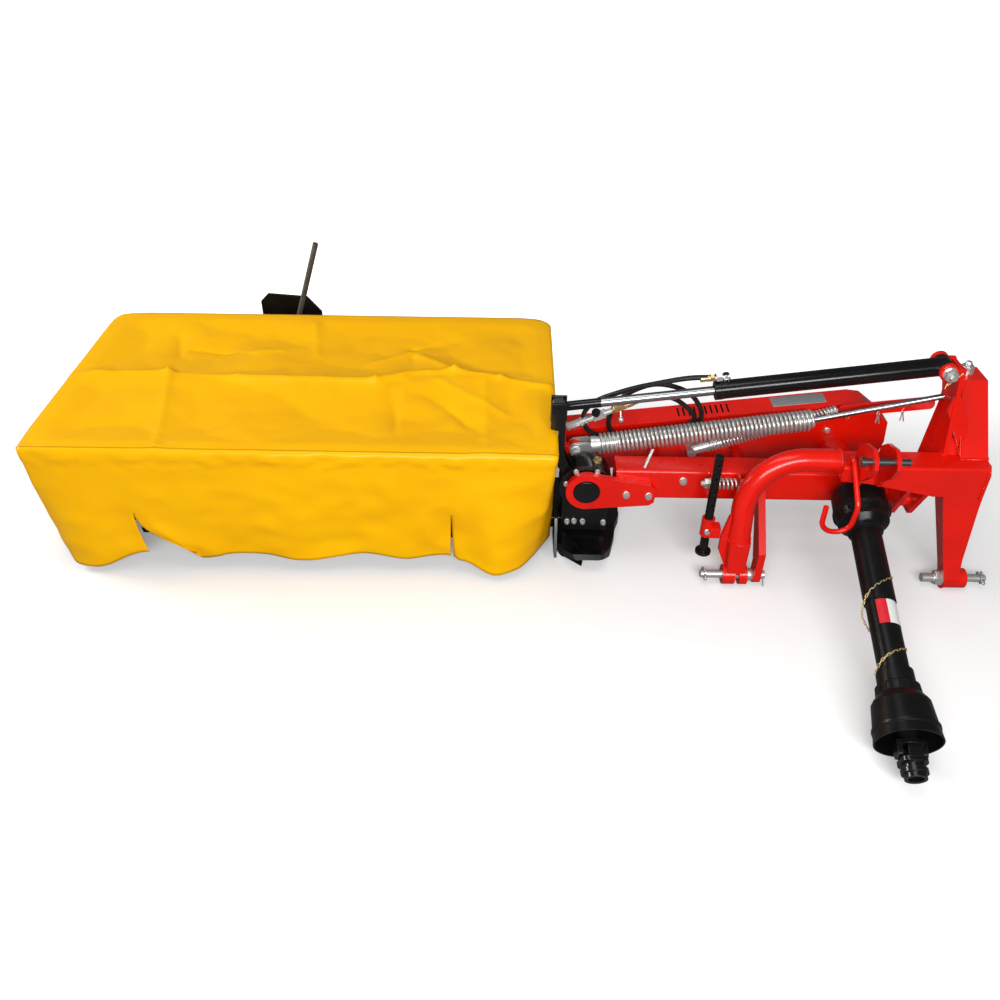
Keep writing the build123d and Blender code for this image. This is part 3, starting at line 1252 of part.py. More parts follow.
# Outer joint: the inner fork, the cross and the outer fork with its splined bore and flange
FORK = BELL_MOUTH_LOWER + 22
FORK_THICK = 10.0
BORE_RADIUS = 17.5
BORE_START = BELL_MOUTH_LOWER + 40
BORE_END = BORE_START + 44
with BuildPart() as outer_yoke:
    with BuildSketch(shaft_plane(BELL_MOUTH_LOWER - 2 + SEAT)):
        Circle(30)
    extrude(amount=10)
    for side in (-1, 1):
        with BuildSketch(Plane(origin=joint + shaft_dir * FORK, x_dir=shaft_dir, z_dir=shaft_side).offset(side * 28 - FORK_THICK / 2)):
            Circle(17)
            with Locations((-12, 0)):
                Rectangle(24, 34)
        extrude(amount=FORK_THICK)
        with BuildSketch(Plane(origin=joint + shaft_dir * FORK, x_dir=shaft_dir, z_dir=cross_axis).offset(side * 24 - FORK_THICK / 2)):
            Circle(15)
            with Locations((13, 0)):
                Rectangle(26, 30)
        extrude(amount=FORK_THICK)
    with BuildSketch(Plane(origin=joint + shaft_dir * FORK, z_dir=shaft_side)):
        Circle(9)
    extrude(amount=28, both=True)
    with BuildSketch(Plane(origin=joint + shaft_dir * FORK, z_dir=cross_axis)):
        Circle(9)
    extrude(amount=24, both=True)
    with BuildSketch(shaft_plane(BORE_START)):
        RectangleRounded(60, 60, 18)
    extrude(amount=10)
    with BuildSketch(shaft_plane(BORE_START + 8)):
        Circle(25)
    extrude(amount=BORE_END - BORE_START - 8)
    with BuildSketch(shaft_plane(BORE_START + 22)):
        Circle(30)
    extrude(amount=10)
    with BuildSketch(shaft_plane(BORE_START)):
        Circle(BORE_RADIUS)
    extrude(amount=BORE_END - BORE_START + 2, mode=Mode.SUBTRACT)
save(outer_yoke, "outer_yoke", BLACK)

# Swath board on its arm behind the outer shoe, with the stick above it
BOARD_REAR = 984.2
BOARD_THICK = 10.0
BOARD_LEFT = -965.0
BOARD_RIGHT = -740.0
BOARD_LOW = 60.0
BOARD_TOP = 290.0
with BuildPart() as swath_board:
    with BuildLine():
        board_arm = FilletPolyline(
            (BAR_LEFT - 14, 250, 100),
            (BAR_LEFT - 14, 560, 140),
            (-1000, 860, 160),
            (-880, BOARD_REAR - 1.5 * BOARD_THICK, 160),
            radius=60,
        )
    with BuildSketch(Plane(origin=board_arm @ 0, x_dir=(1, 0, 0), z_dir=board_arm % 0)):
        Rectangle(10, 60)
    sweep()
    with BuildSketch(Plane.XZ.offset(-BOARD_REAR)):
        with BuildLine():
            Polyline(
                (BOARD_LEFT, BOARD_LOW + 40),
                (BOARD_LEFT, BOARD_TOP - 30),
                (BOARD_LEFT + 30, BOARD_TOP),
                (BOARD_RIGHT - 50, BOARD_TOP - 10),
                (BOARD_RIGHT, BOARD_TOP - 70),
                (BOARD_RIGHT, BOARD_LOW),
                (BOARD_LEFT + 65, BOARD_LOW),
                close=True,
            )
        make_face()
    extrude(amount=BOARD_THICK)
save(swath_board, "swath_board", BLACK)

STICK_RADIUS = 10.0
STICK_LONG = 318.0
stick_foot = (BOARD_RIGHT - 88, BOARD_REAR - BOARD_THICK - SEAT - STICK_RADIUS, BOARD_TOP - 90)
with BuildPart() as swath_stick:
    with BuildSketch(Plane(origin=stick_foot, z_dir=(100, -20, 300))):
        Circle(STICK_RADIUS)
    extrude(amount=STICK_LONG)
save(swath_stick, "swath_stick", ZINC)
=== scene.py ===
import math

import bmesh
import bpy
from mathutils import Matrix, Vector, noise


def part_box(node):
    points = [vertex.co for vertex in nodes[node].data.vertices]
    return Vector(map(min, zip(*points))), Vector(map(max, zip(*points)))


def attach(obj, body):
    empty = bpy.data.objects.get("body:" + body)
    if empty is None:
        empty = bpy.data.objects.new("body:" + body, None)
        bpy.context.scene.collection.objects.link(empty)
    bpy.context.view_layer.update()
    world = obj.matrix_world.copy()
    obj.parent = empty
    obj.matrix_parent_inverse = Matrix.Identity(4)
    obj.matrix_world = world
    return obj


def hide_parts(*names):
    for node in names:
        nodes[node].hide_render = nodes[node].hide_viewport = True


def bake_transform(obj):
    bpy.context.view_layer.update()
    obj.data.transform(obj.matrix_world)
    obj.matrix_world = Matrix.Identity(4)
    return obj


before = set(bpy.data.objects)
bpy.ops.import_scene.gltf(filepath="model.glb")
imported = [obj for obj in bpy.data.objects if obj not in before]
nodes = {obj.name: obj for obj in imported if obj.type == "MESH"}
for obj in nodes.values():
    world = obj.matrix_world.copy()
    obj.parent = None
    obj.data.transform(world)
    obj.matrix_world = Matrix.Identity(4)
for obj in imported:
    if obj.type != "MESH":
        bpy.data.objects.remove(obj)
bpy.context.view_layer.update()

# The photographer's camera: it stands on the tractor side, above the mower, and looks down on it.
CAMERA_PLACE = Vector((-0.0324, -2.262, 1.780))
CAMERA_DOWN = 0.6457
CAMERA_TURN = 0.0075
CAMERA_ROLL = 0.0117
CAMERA_LENS = 33.52
ahead = Vector((
    -math.sin(CAMERA_TURN) * math.cos(CAMERA_DOWN),
    math.cos(CAMERA_TURN) * math.cos(CAMERA_DOWN),
    -math.sin(CAMERA_DOWN),
))
level_right = Vector((math.cos(CAMERA_TURN), math.sin(CAMERA_TURN), 0))
level_up = level_right.cross(ahead)
camera_right = level_right * math.cos(CAMERA_ROLL) + level_up * math.sin(CAMERA_ROLL)
camera_up = level_up * math.cos(CAMERA_ROLL) - level_right * math.sin(CAMERA_ROLL)
camera_turn = Matrix((camera_right, camera_up, -ahead)).transposed().to_4x4()
camera = bpy.data.objects.new("camera", bpy.data.cameras.new("camera"))
camera.data.lens = CAMERA_LENS
camera.data.sensor_width = 36
camera.matrix_world = Matrix.Translation(CAMERA_PLACE) @ camera_turn
bpy.context.scene.collection.objects.link(camera)
bpy.context.scene.camera = camera


def shape_object(name, build, material, sharp=None):
    """Make a mesh object from what a build function does to an empty bmesh."""
    bm = bmesh.new()
    build(bm)
    mesh = bpy.data.meshes.new(name)
    bm.to_mesh(mesh)
    bm.free()
    for face in mesh.polygons:
        face.use_smooth = True
    if sharp:
        mesh.set_sharp_from_angle(angle=sharp)
    mesh.materials.append(material)
    piece = bpy.data.objects.new(name, mesh)
    bpy.context.scene.collection.objects.link(piece)
    return piece


# Studio: a white floor that fades into a white surround, under one broad soft lamp and two fills.
# Glossy rays meet a darker grey, and the camera sees plain white past the floor. The floor's fade to
# white is a painted glow: its emission rises from 0.2 near the machine to full strength far off and
# towards the rear. Rays other than the camera's meet the floor as a dark grey.
FLOOR_SIZE = 14.0
LAMP_TARGET = Vector((0, 0, 0.2))
LAMPS = (
    # name, place, size, watts
    ("top_lamp", (-0.3, -0.3, 3.6), (3.0, 1.0), 27),
    ("front_fill", (0.2, -3.5, 2.2), (3.2, 0.9), 143),
    ("left_fill", (-3.6, 0.7, 1.55), (1.2, 0.8), 58),
)


def set_values(node, values):
    """Set the values of a node's inputs, by socket."""
    for socket, value in values.items():
        node.inputs[socket].default_value = value


def add_node(tree, kind, values=None, operation=None):
    """A new node of a tree, with the values of its inputs."""
    node = tree.nodes.new(kind)
    if operation:
        node.operation = operation
    set_values(node, values or {})
    return node


def wire(tree, *links):
    """Join pairs of (node, socket) in a node tree."""
    for (from_node, from_socket), (to_node, to_socket) in links:
        tree.links.new(from_node.outputs[from_socket], to_node.inputs[to_socket])


def new_material(name):
    """A material, its node tree and its shader."""
    material = bpy.data.materials.new(name)
    material.use_nodes = True
    return material, material.node_tree, material.node_tree.nodes["Principled BSDF"]


MIDDLE_GREY = (0.5, 0.5, 0.5, 1)
WHITE = (1, 1, 1, 1)
studio = bpy.data.worlds.new("studio")
bpy.context.scene.world = studio
bpy.context.scene.view_settings.view_transform = "Standard"
studio.use_nodes = True
tree = studio.node_tree
backdrop = tree.nodes["Background"]
set_values(backdrop, {"Color": MIDDLE_GREY, "Strength": 0.54})
dark_flags = add_node(tree, "ShaderNodeBackground", {"Color": MIDDLE_GREY, "Strength": 0.22})
seen_white = add_node(tree, "ShaderNodeBackground", {"Color": WHITE})
ray_kind = add_node(tree, "ShaderNodeLightPath")
glossy_choice = add_node(tree, "ShaderNodeMixShader")
camera_choice = add_node(tree, "ShaderNodeMixShader")
wire(
    tree,
    ((ray_kind, "Is Glossy Ray"), (glossy_choice, 0)),
    ((backdrop, 0), (glossy_choice, 1)),
    ((dark_flags, 0), (glossy_choice, 2)),
    ((ray_kind, "Is Camera Ray"), (camera_choice, 0)),
    ((glossy_choice, 0), (camera_choice, 1)),
    ((seen_white, 0), (camera_choice, 2)),
    ((camera_choice, 0), (tree.nodes["World Output"], "Surface")),
)
floor_white, tree, shader = new_material("floor_white")
set_values(shader, {
    "Base Color": (0.80, 0.80, 0.80, 1), "Roughness": 1.0,
    "Specular IOR Level": 0.0, "Emission Color": WHITE,
})
# Painted glow on the floor: emission strength from 0.2 near the middle to 1.0 far away and towards the rear.
GLOW_RANGE = {"To Min": 0.20, "To Max": 1.0}
floor_place = add_node(tree, "ShaderNodeTexCoord")
floor_reach = add_node(tree, "ShaderNodeVectorMath", operation="LENGTH")
floor_glow = add_node(tree, "ShaderNodeMapRange", {"From Min": 1.5, "From Max": 3.4, **GLOW_RANGE})
floor_spot = add_node(tree, "ShaderNodeSeparateXYZ")
rear_glow = add_node(tree, "ShaderNodeMapRange", {"From Min": 0.30, "From Max": 1.35, **GLOW_RANGE})
more_glow = add_node(tree, "ShaderNodeMath", operation="MAXIMUM")
floor_dark = add_node(tree, "ShaderNodeBsdfDiffuse", {"Color": (0.20, 0.20, 0.20, 1)})
floor_ray = add_node(tree, "ShaderNodeLightPath")
floor_choice = add_node(tree, "ShaderNodeMixShader")
wire(
    tree,
    ((floor_place, "Object"), (floor_reach, 0)),
    ((floor_reach, "Value"), (floor_glow, "Value")),
    ((floor_place, "Object"), (floor_spot, 0)),
    ((floor_spot, "Y"), (rear_glow, "Value")),
    ((rear_glow, 0), (more_glow, 0)),
    ((floor_glow, 0), (more_glow, 1)),
    ((more_glow, 0), (shader, "Emission Strength")),
    ((floor_ray, "Is Camera Ray"), (floor_choice, 0)),
    ((floor_dark, 0), (floor_choice, 1)),
    ((shader, 0), (floor_choice, 2)),
    ((floor_choice, 0), (tree.nodes["Material Output"], "Surface")),
)
floor = shape_object(
    "floor",
    lambda bm: bmesh.ops.create_grid(bm, x_segments=1, y_segments=1, size=FLOOR_SIZE),
    floor_white,
)
for name, place, size, watts in LAMPS:
    lamp = bpy.data.objects.new(name, bpy.data.lights.new(name, "AREA"))
    lamp.data.shape = "RECTANGLE"
    lamp.data.size, lamp.data.size_y = size
    lamp.data.energy = watts
    lamp.location = place
    lamp.rotation_euler = (LAMP_TARGET - Vector(place)).to_track_quat("-Z", "Y").to_euler()
    bpy.context.scene.collection.objects.link(lamp)

# Finishes: every metal and plastic skin is a base tone broken up by faint cloudy patches, a fine
# grain, and a painted highlight that makes its edges lighter. One node group makes the three, each finish
# gives its own values.
skin_group = bpy.data.node_groups.new("skin_with_edge_highlight", "ShaderNodeTree")
for label, kind, default in (
    ("Tone", "NodeSocketColor", (0.5, 0.5, 0.5, 1)),
    ("Patch tone", "NodeSocketColor", (0.4, 0.4, 0.4, 1)),
    ("Edge highlight tone", "NodeSocketColor", (0.6, 0.6, 0.6, 1)),
    ("Patch size", "NodeSocketFloat", 9.0),
    ("Patch share", "NodeSocketFloat", 0.3),
    ("Edge highlight share", "NodeSocketFloat", 0.3),
    ("Grain size", "NodeSocketFloat", 300.0),
    ("Roughness", "NodeSocketFloat", 0.3),
    ("Roughness spread", "NodeSocketFloat", 0.1),
):
    skin_group.interface.new_socket(label, in_out="INPUT", socket_type=kind).default_value = default
for label, kind in (
    ("Colour", "NodeSocketColor"),
    ("Roughness", "NodeSocketFloat"),
    ("Height", "NodeSocketFloat"),
):
    skin_group.interface.new_socket(label, in_out="OUTPUT", socket_type=kind)


def noise_node(tree, scale, detail):
    """A noise node on its tree."""
    return add_node(tree, "ShaderNodeTexNoise", {"Scale": scale, "Detail": detail})


def mix_colour(tree, values=None):
    """A colour mix node with plain socket numbers: 6 and 7 in, 2 out."""
    node = tree.nodes.new("ShaderNodeMix")
    node.data_type = "RGBA"
    set_values(node, values or {})
    return node


def bevel_node(tree, radius):
    """A node that gives the surface's normal as if its edges were rounded."""
    node = add_node(tree, "ShaderNodeBevel", {"Radius": radius})
    node.samples = 4
    return node


tree = skin_group
given = tree.nodes.new("NodeGroupInput")
result = tree.nodes.new("NodeGroupOutput")
place = add_node(tree, "ShaderNodeTexCoord")
patches = noise_node(tree, 9, 4)
grain = noise_node(tree, 300, 3)
patch_curve = add_node(tree, "ShaderNodeMapRange", {"From Min": 0.38, "From Max": 0.68})
patch_amount = add_node(tree, "ShaderNodeMath", operation="MULTIPLY")
# Painted highlight on edges: where the rounded normal turns away from the true one, the colour is mixed
# towards a lighter edge tone.
edge_finder = bevel_node(tree, 0.0022)
surface = add_node(tree, "ShaderNodeNewGeometry")
edge_dot = add_node(tree, "ShaderNodeVectorMath", operation="DOT_PRODUCT")
edge_highlight_curve = add_node(tree, "ShaderNodeMapRange", {"From Min": 0.985, "From Max": 0.80})
edge_highlight_amount = add_node(tree, "ShaderNodeMath", operation="MULTIPLY")
patch_mix = mix_colour(tree)
edge_highlight_mix = mix_colour(tree)
rough_shift = add_node(tree, "ShaderNodeMath", {1: 0.5}, "SUBTRACT")
rough_scale = add_node(tree, "ShaderNodeMath", operation="MULTIPLY")
rough_sum = add_node(tree, "ShaderNodeMath", operation="ADD")
wire(
    tree,
    ((place, "Object"), (patches, "Vector")),
    ((place, "Object"), (grain, "Vector")),
    ((given, "Patch size"), (patches, "Scale")),
    ((given, "Grain size"), (grain, "Scale")),
    ((patches, 0), (patch_curve, "Value")),
    ((patch_curve, 0), (patch_amount, 0)),
    ((given, "Patch share"), (patch_amount, 1)),
    ((patch_amount, 0), (patch_mix, 0)),
    ((given, "Tone"), (patch_mix, 6)),
    ((given, "Patch tone"), (patch_mix, 7)),
    ((edge_finder, 0), (edge_dot, 0)),
    ((surface, "Normal"), (edge_dot, 1)),
    ((edge_dot, "Value"), (edge_highlight_curve, "Value")),
    ((edge_highlight_curve, 0), (edge_highlight_amount, 0)),
    ((given, "Edge highlight share"), (edge_highlight_amount, 1)),
    ((edge_highlight_amount, 0), (edge_highlight_mix, 0)),
    ((patch_mix, 2), (edge_highlight_mix, 6)),
    ((given, "Edge highlight tone"), (edge_highlight_mix, 7)),
    ((edge_highlight_mix, 2), (result, "Colour")),
    ((patches, 0), (rough_shift, 0)),
    ((rough_shift, 0), (rough_scale, 0)),
    ((given, "Roughness spread"), (rough_scale, 1)),
    ((rough_scale, 0), (rough_sum, 0)),
    ((given, "Roughness"), (rough_sum, 1)),
    ((rough_sum, 0), (result, "Roughness")),
    ((grain, 0), (result, "Height")),
)

FINISHES = {
    # name: tone, patch tone, edge highlight tone, patch size, patch share, edge highlight share, grain size,
    #       roughness, spread, metallic, coat, bump, specular
    "red_paint": ((0.78, 0.008, 0.002), (0.62, 0.005, 0.001), (0.86, 0.04, 0.02),
                  7, 0.6, 0.35, 180, 0.28, 0.14, 0.0, 0.35, 0.10, 0.32),
    "black_paint": ((0.004, 0.004, 0.004), (0.009, 0.009, 0.010), (0.08, 0.08, 0.085),
                    9, 0.6, 0.5, 240, 0.22, 0.16, 0.0, 0.20, 0.08, 0.30),
    "zinc_steel": ((0.80, 0.81, 0.79), (0.62, 0.62, 0.58), (0.90, 0.90, 0.90),
                   24, 0.5, 0.3, 900, 0.34, 0.16, 0.80, 0.0, 0.03, 0.5),
    "yellow_zinc": ((0.66, 0.50, 0.22), (0.52, 0.33, 0.16), (0.85, 0.74, 0.45),
                    60, 0.6, 0.4, 900, 0.32, 0.2, 0.85, 0.0, 0.05, 0.5),
    "chrome_rod": ((0.44, 0.45, 0.47), (0.38, 0.39, 0.41), (0.6, 0.6, 0.6),
                   12, 0.3, 0.1, 900, 0.28, 0.04, 1.0, 0.0, 0.0, 0.5),
    "dark_steel": ((0.16, 0.16, 0.17), (0.10, 0.10, 0.11), (0.4, 0.4, 0.4),
                   30, 0.5, 0.3, 700, 0.34, 0.12, 0.9, 0.0, 0.03, 0.5),
    "bare_steel": ((0.33, 0.31, 0.28), (0.20, 0.13, 0.08), (0.5, 0.48, 0.45),
                   26, 0.8, 0.5, 500, 0.46, 0.25, 0.9, 0.0, 0.25, 0.5),
    "black_plastic": ((0.005, 0.005, 0.005), (0.009, 0.009, 0.009), (0.04, 0.04, 0.04),
                      14, 0.5, 0.5, 420, 0.28, 0.12, 0.0, 0.0, 0.12, 0.20),
    "hose_rubber": ((0.012, 0.012, 0.012), (0.020, 0.020, 0.019), (0.03, 0.03, 0.03),
                    60, 0.5, 0.2, 1500, 0.40, 0.14, 0.0, 0.0, 0.20, 0.30),
    "grey_plate": ((0.34, 0.35, 0.36), (0.28, 0.29, 0.30), (0.6, 0.6, 0.6),
                   30, 0.5, 0.3, 700, 0.45, 0.1, 0.5, 0.0, 0.05, 0.5),
    # Near-black finish of the boxes in the cooling slots: painted shade.
    "slot_painted_shade": ((0.006, 0.004, 0.004), (0.012, 0.006, 0.006), (0.02, 0.01, 0.01),
                  30, 0.5, 0.1, 400, 0.8, 0.1, 0.0, 0.0, 0.05, 0.1),
}
finishes = {}
for name, row in FINISHES.items():
    tone, patch_tone, edge_highlight_tone, patch_size, patch_share, edge_highlight_share, grain_size = row[:7]
    rough, spread, metal, coat, bump_depth, gleam = row[7:]
    material, tree, shader = new_material(name)
    skin = tree.nodes.new("ShaderNodeGroup")
    skin.node_tree = skin_group
    set_values(skin, {
        "Tone": (*tone, 1), "Patch tone": (*patch_tone, 1), "Edge highlight tone": (*edge_highlight_tone, 1),
        "Patch size": patch_size, "Patch share": patch_share, "Edge highlight share": edge_highlight_share,
        "Grain size": grain_size, "Roughness": rough, "Roughness spread": spread,
    })
    bump = add_node(tree, "ShaderNodeBump", {"Strength": bump_depth, "Distance": 0.001})
    wire(
        tree,
        ((skin, "Colour"), (shader, "Base Color")),
        ((skin, "Roughness"), (shader, "Roughness")),
        ((skin, "Height"), (bump, "Height")),
        ((bump, 0), (shader, "Normal")),
    )
    if not metal:
        wire(tree, ((bevel_node(tree, 0.0012), 0), (bump, "Normal")))
    set_values(shader, {
        "Metallic": metal, "Specular IOR Level": gleam, "Coat Weight": coat, "Coat Roughness": 0.08,
    })
    finishes[name] = material

NODE_FINISH = {
    "red_paint": (
        "headstock_tube cross_beam right_leg spring_post left_foot left_brace top_link_bracket "
        "shaft_hook main_beam hinge_plates pivot_arm belt_cover cover_mounts clevis_lug strap "
        "breakaway_bracket stand_socket"
    ),
    "black_paint": (
        "stand_leg cutter_bar bar_skids bar_gearbox hub_cap inner_shoe outer_shoe disc_1 disc_2 "
        "disc_3 canopy_frame lift_ears cylinder_barrel input_yoke outer_yoke swath_board"
    ),
    "zinc_steel": (
        "pin_left pin_right float_spring spring_plugs aux_spring "
        "aux_anchor breakaway_spring joint_cross"
    ),
    "chrome_rod": "cylinder_rod spring_rod",
    "dark_steel": "top_link_pin",
    "bare_steel": "swath_stick",
    "black_plastic": "guard_upper guard_lower",
}
for finish, names in NODE_FINISH.items():
    for name in names.split():
        nodes[name].data.materials.clear()
        nodes[name].data.materials.append(finishes[finish])

# Fabric guard: one sheet of amber coated tarpaulin, heat-welded along its front edge, stretched over
# the square-tube frame and hanging as skirts. It still shows the creases of the box it came folded in.
canopy_low, canopy_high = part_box("canopy")
GUARD_MID = (canopy_low + canopy_high) / 2
GUARD_HALF = (canopy_high - canopy_low) / 2
GUARD_TOP = canopy_high.z - 0.0015
TOP_CORNER = {(1, -1): 0.016, (-1, -1): 0.016, (1, 1): 0.06, (-1, 1): 0.045}
CELL = 0.0085
SKIRT_RINGS = 38
HEM_CORNER = {(1, -1): 0.165, (-1, -1): 0.115, (1, 1): 0.13, (-1, 1): 0.13}
FOLD_RADIUS = 0.009
FRONT_HEM = (
    # x, height of the hem, how far it stands out
    (-1.33, 0.050, 0.000),
    (-1.25, 0.018, 0.030),
    (-1.20, 0.020, 0.034),
    (-1.06, 0.066, 0.012),
    (-0.93, 0.040, 0.004),
    (-0.76, 0.060, 0.000),
    (-0.60, 0.042, 0.006),
    (-0.43, 0.062, 0.000),
    (-0.31, 0.047, 0.004),
    (-0.19, 0.060, 0.000),
    (-0.16, 0.048, 0.010),
    (-0.06, 0.020, 0.034),
    (0.00, 0.026, 0.030),
    (0.11, 0.060, 0.000),
)
TOP_CREASES = (
    # from x, y to x, y, lift in mm (minus for a valley), reach in mm
    (-1.26, 0.155, -1.04, 0.170, 5.0, 26),
    (-1.04, 0.170, -0.83, 0.138, 5.0, 30),
    (-0.83, 0.138, -0.42, 0.128, 6.0, 28),
    (-0.42, 0.128, -0.32, 0.190, 6.0, 22),
    (-0.32, 0.190, -0.19, 0.204, 5.0, 24),
    (-0.19, 0.204, -0.05, 0.160, 5.0, 22),
    (-0.05, 0.160, 0.10, 0.112, 5.0, 26),
    (-1.08, 0.42, -1.02, 0.18, -5.0, 40),
    (-1.04, 0.17, -0.96, -0.23, 4.0, 34),
    (-0.36, 0.12, -0.325, -0.23, -4.5, 20),
    (-0.34, 0.15, -0.32, -0.22, 2.5, 60),
    (-0.33, 0.36, -0.32, 0.19, -6.0, 36),
    (-0.33, 0.34, -0.19, 0.21, 4.0, 24),
    (-0.33, 0.34, -0.44, 0.26, 4.0, 26),
    (-0.33, 0.36, -0.20, 0.42, -3.5, 40),
    (-0.27, 0.11, -0.11, -0.12, -5.0, 24),
    (-0.24, 0.15, -0.04, -0.02, 3.0, 30),
    (-1.02, 0.34, -0.84, 0.31, -4.0, 30),
    (-0.86, 0.31, -0.74, 0.33, 3.0, 26),
    (-0.10, 0.18, -0.085, -0.22, 2.5, 40),
    (-0.62, -0.20, -0.58, -0.245, -5.0, 26),
    (-0.47, -0.19, -0.44, -0.245, -4.0, 24),
    (-0.31, -0.20, -0.29, -0.245, -4.5, 20),
    (-0.20, -0.21, -0.17, -0.245, -3.5, 18),
    (-0.66, 0.50, -0.62, 0.30, 3.5, 60),
)
CUTS = (
    # x of the cut, height of its top, how far each side of it is folded away at the hem, power
    (-1.060, 0.203, 0.018, 0.153, 2.4),
    (-0.184, 0.214, -0.004, 0.005, 1.0),
)
CUT_SPREAD = 0.26
INNER_OPENING = (-0.115, 0.440)
BOARD_OPENING = (-1.330, -1.262, 0.190)
BOARD_FRONT = 0.46
FRONT_BAND = 0.0055
FRONT_CORNER = 0.12
FLARE = 0.015
SEAM_BACK = 0.011
FRAME_BAR_Y = 0.150
FRAME_INSET = 0.016
FRAME_TUBE = 0.024
FRAME_CORNER = 0.104
CLOTH_CLEAR = 0.0016
DRAPE_SLOPE = 0.15
TOP_SAGS = (
    # middle y, half run, depth
    (-0.05, 0.20, 0.011),
    (0.36, 0.21, 0.012),
)
frame_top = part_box("canopy_frame")[1].z


def rounded_point(x, y, corners):
    """Move a point of the guard's rim onto the rim with rounded corners, by a table of their radii."""
    corner = (1 if x > 0 else -1, 1 if y > 0 else -1)
    radius = corners[corner]
    from_x = GUARD_HALF.x - abs(x)
    from_y = GUARD_HALF.y - abs(y)
    if from_x < radius and from_y < radius:
        run = radius - from_y if from_x < from_y else radius + from_x
        if from_x < from_y:
            turn = math.pi / 2 * (run / (2 * radius))
        else:
            turn = math.pi / 2 * (1 - (radius - from_x) / (2 * radius))
        spot_x = GUARD_HALF.x - radius + radius * math.cos(turn)
        spot_y = GUARD_HALF.y - radius + radius * math.sin(turn)
        return Vector((corner[0] * spot_x, corner[1] * spot_y))
    return Vector((x, y))


def rim_key(x, table):
    """Values from a table of rows that start with x, eased between its rows."""
    for before, after in zip(table, table[1:]):
        if before[0] <= x <= after[0]:
            share = (x - before[0]) / (after[0] - before[0])
            share = share * share * (3 - 2 * share)
            return [a + (b - a) * share for a, b in zip(before[1:], after[1:])]
    return table[0][1:] if x < table[0][0] else table[-1][1:]


def crease_lift(x, y):
    """Height in metres that the fold creases give a point of the top sheet."""
    lift = 0.0
    spot = Vector((x, y))
    for from_x, from_y, to_x, to_y, height, reach in TOP_CREASES:
        start = Vector((from_x, from_y))
        line = Vector((to_x, to_y)) - start
        share = min(max((spot - start).dot(line) / line.length_squared, 0), 1)
        away = (spot - start - line * share).length
        lift += height * 0.001 * (math.exp(-away / (reach * 0.001)) + 0.5 * math.exp(-away / 0.008))
    return lift


def from_frame(spot):
    """Distance in plan from a point to the nearest square tube of the guard's frame."""
    reach = GUARD_HALF.xy - Vector((FRAME_INSET + FRAME_CORNER, FRAME_INSET + FRAME_CORNER))
    over = Vector((abs(spot.x - GUARD_MID.x), abs(spot.y - GUARD_MID.y))) - reach
    outside = Vector((max(over.x, 0), max(over.y, 0))).length + min(max(over.x, over.y), 0) - FRAME_CORNER
    from_rim = max(outside, -FRAME_TUBE - outside, 0)
    from_bar = max(abs(spot.y - FRAME_BAR_Y) - FRAME_TUBE / 2, 0)
    return min(from_rim, from_bar)


def cloth_noise(x, y, z, size, seed):
    """Smooth noise from -1 to 1 with bumps of a size in metres."""
    return noise.noise(Vector((x / size + seed, y / size + seed * 2.7, z / size - seed)))


def verts_of(made):
    """The vertices that a bmesh operator made."""
    return [item for item in made["geom"] if isinstance(item, bmesh.types.BMVert)]


def top_point(x, y):
    """Place of a point of the top sheet, drawn over the frame, sagging between its tubes."""
    scale = max(abs(x) / GUARD_HALF.x, abs(y) / GUARD_HALF.y, 1e-6)
    spot = rounded_point(x / scale, y / scale, TOP_CORNER) * scale + GUARD_MID.xy
    inset = min(GUARD_HALF.x - abs(x), GUARD_HALF.y - abs(y))
    sag = sum(-depth * math.cos(min(abs(spot.y - middle) / half_run, 1) * math.pi / 2)
              for middle, half_run, depth in TOP_SAGS)
    ripple = 0.0035 * cloth_noise(*spot, 0, 0.16, 1.3) + 0.0012 * cloth_noise(*spot, 0, 0.05, 4.1)
    ripple += 0.016 * abs(cloth_noise(*spot, 0, 0.27, 7.7))
    ripple += 0.004 * abs(cloth_noise(*spot, 0, 0.12, 3.1)) - 0.005
    edge_round = -FOLD_RADIUS * (1 - math.sqrt(max(1 - (1 - min(inset / FOLD_RADIUS, 1)) ** 2, 0)))
    height = GUARD_TOP + (sag + ripple) * min(inset / 0.05, 1) - 0.001 + 0.6 * edge_round
    height += 1.5 * crease_lift(*spot) * min(inset / 0.016, 1)
    lowest = frame_top + CLOTH_CLEAR - DRAPE_SLOPE * max(from_frame(spot) - 0.006, 0)
    return spot.x, spot.y, max(height, lowest)


def skirt_wave(spot, drop, out):
    """How far the folds of a skirt carry a point outwards, from the share of the drop above it."""
    wave = 0.012 * cloth_noise(spot.x, spot.y, 0.25 * drop, 0.21, 2.2) * drop
    wave += 0.0045 * cloth_noise(spot.x, spot.y, drop * 0.5, 0.075, 5.2) * min(drop * 2, 1)
    wave += 0.011 * (0.35 - abs(cloth_noise(spot.x, spot.y, 0.45 * drop, 0.15, 6.4))) * min(drop * 3, 1)
    near_rim = math.exp(-((drop - 0.10) / 0.07) ** 2)
    wave += 0.0035 * cloth_noise(spot.x, spot.y, drop, 0.034, 8.8) * near_rim
    if out.x > 0:
        wave += FLARE * min(max((-0.150 - spot.y) / 0.05, 0), 1) * math.exp(-((drop - 0.14) / 0.16) ** 2)
    return wave - 0.004 * drop


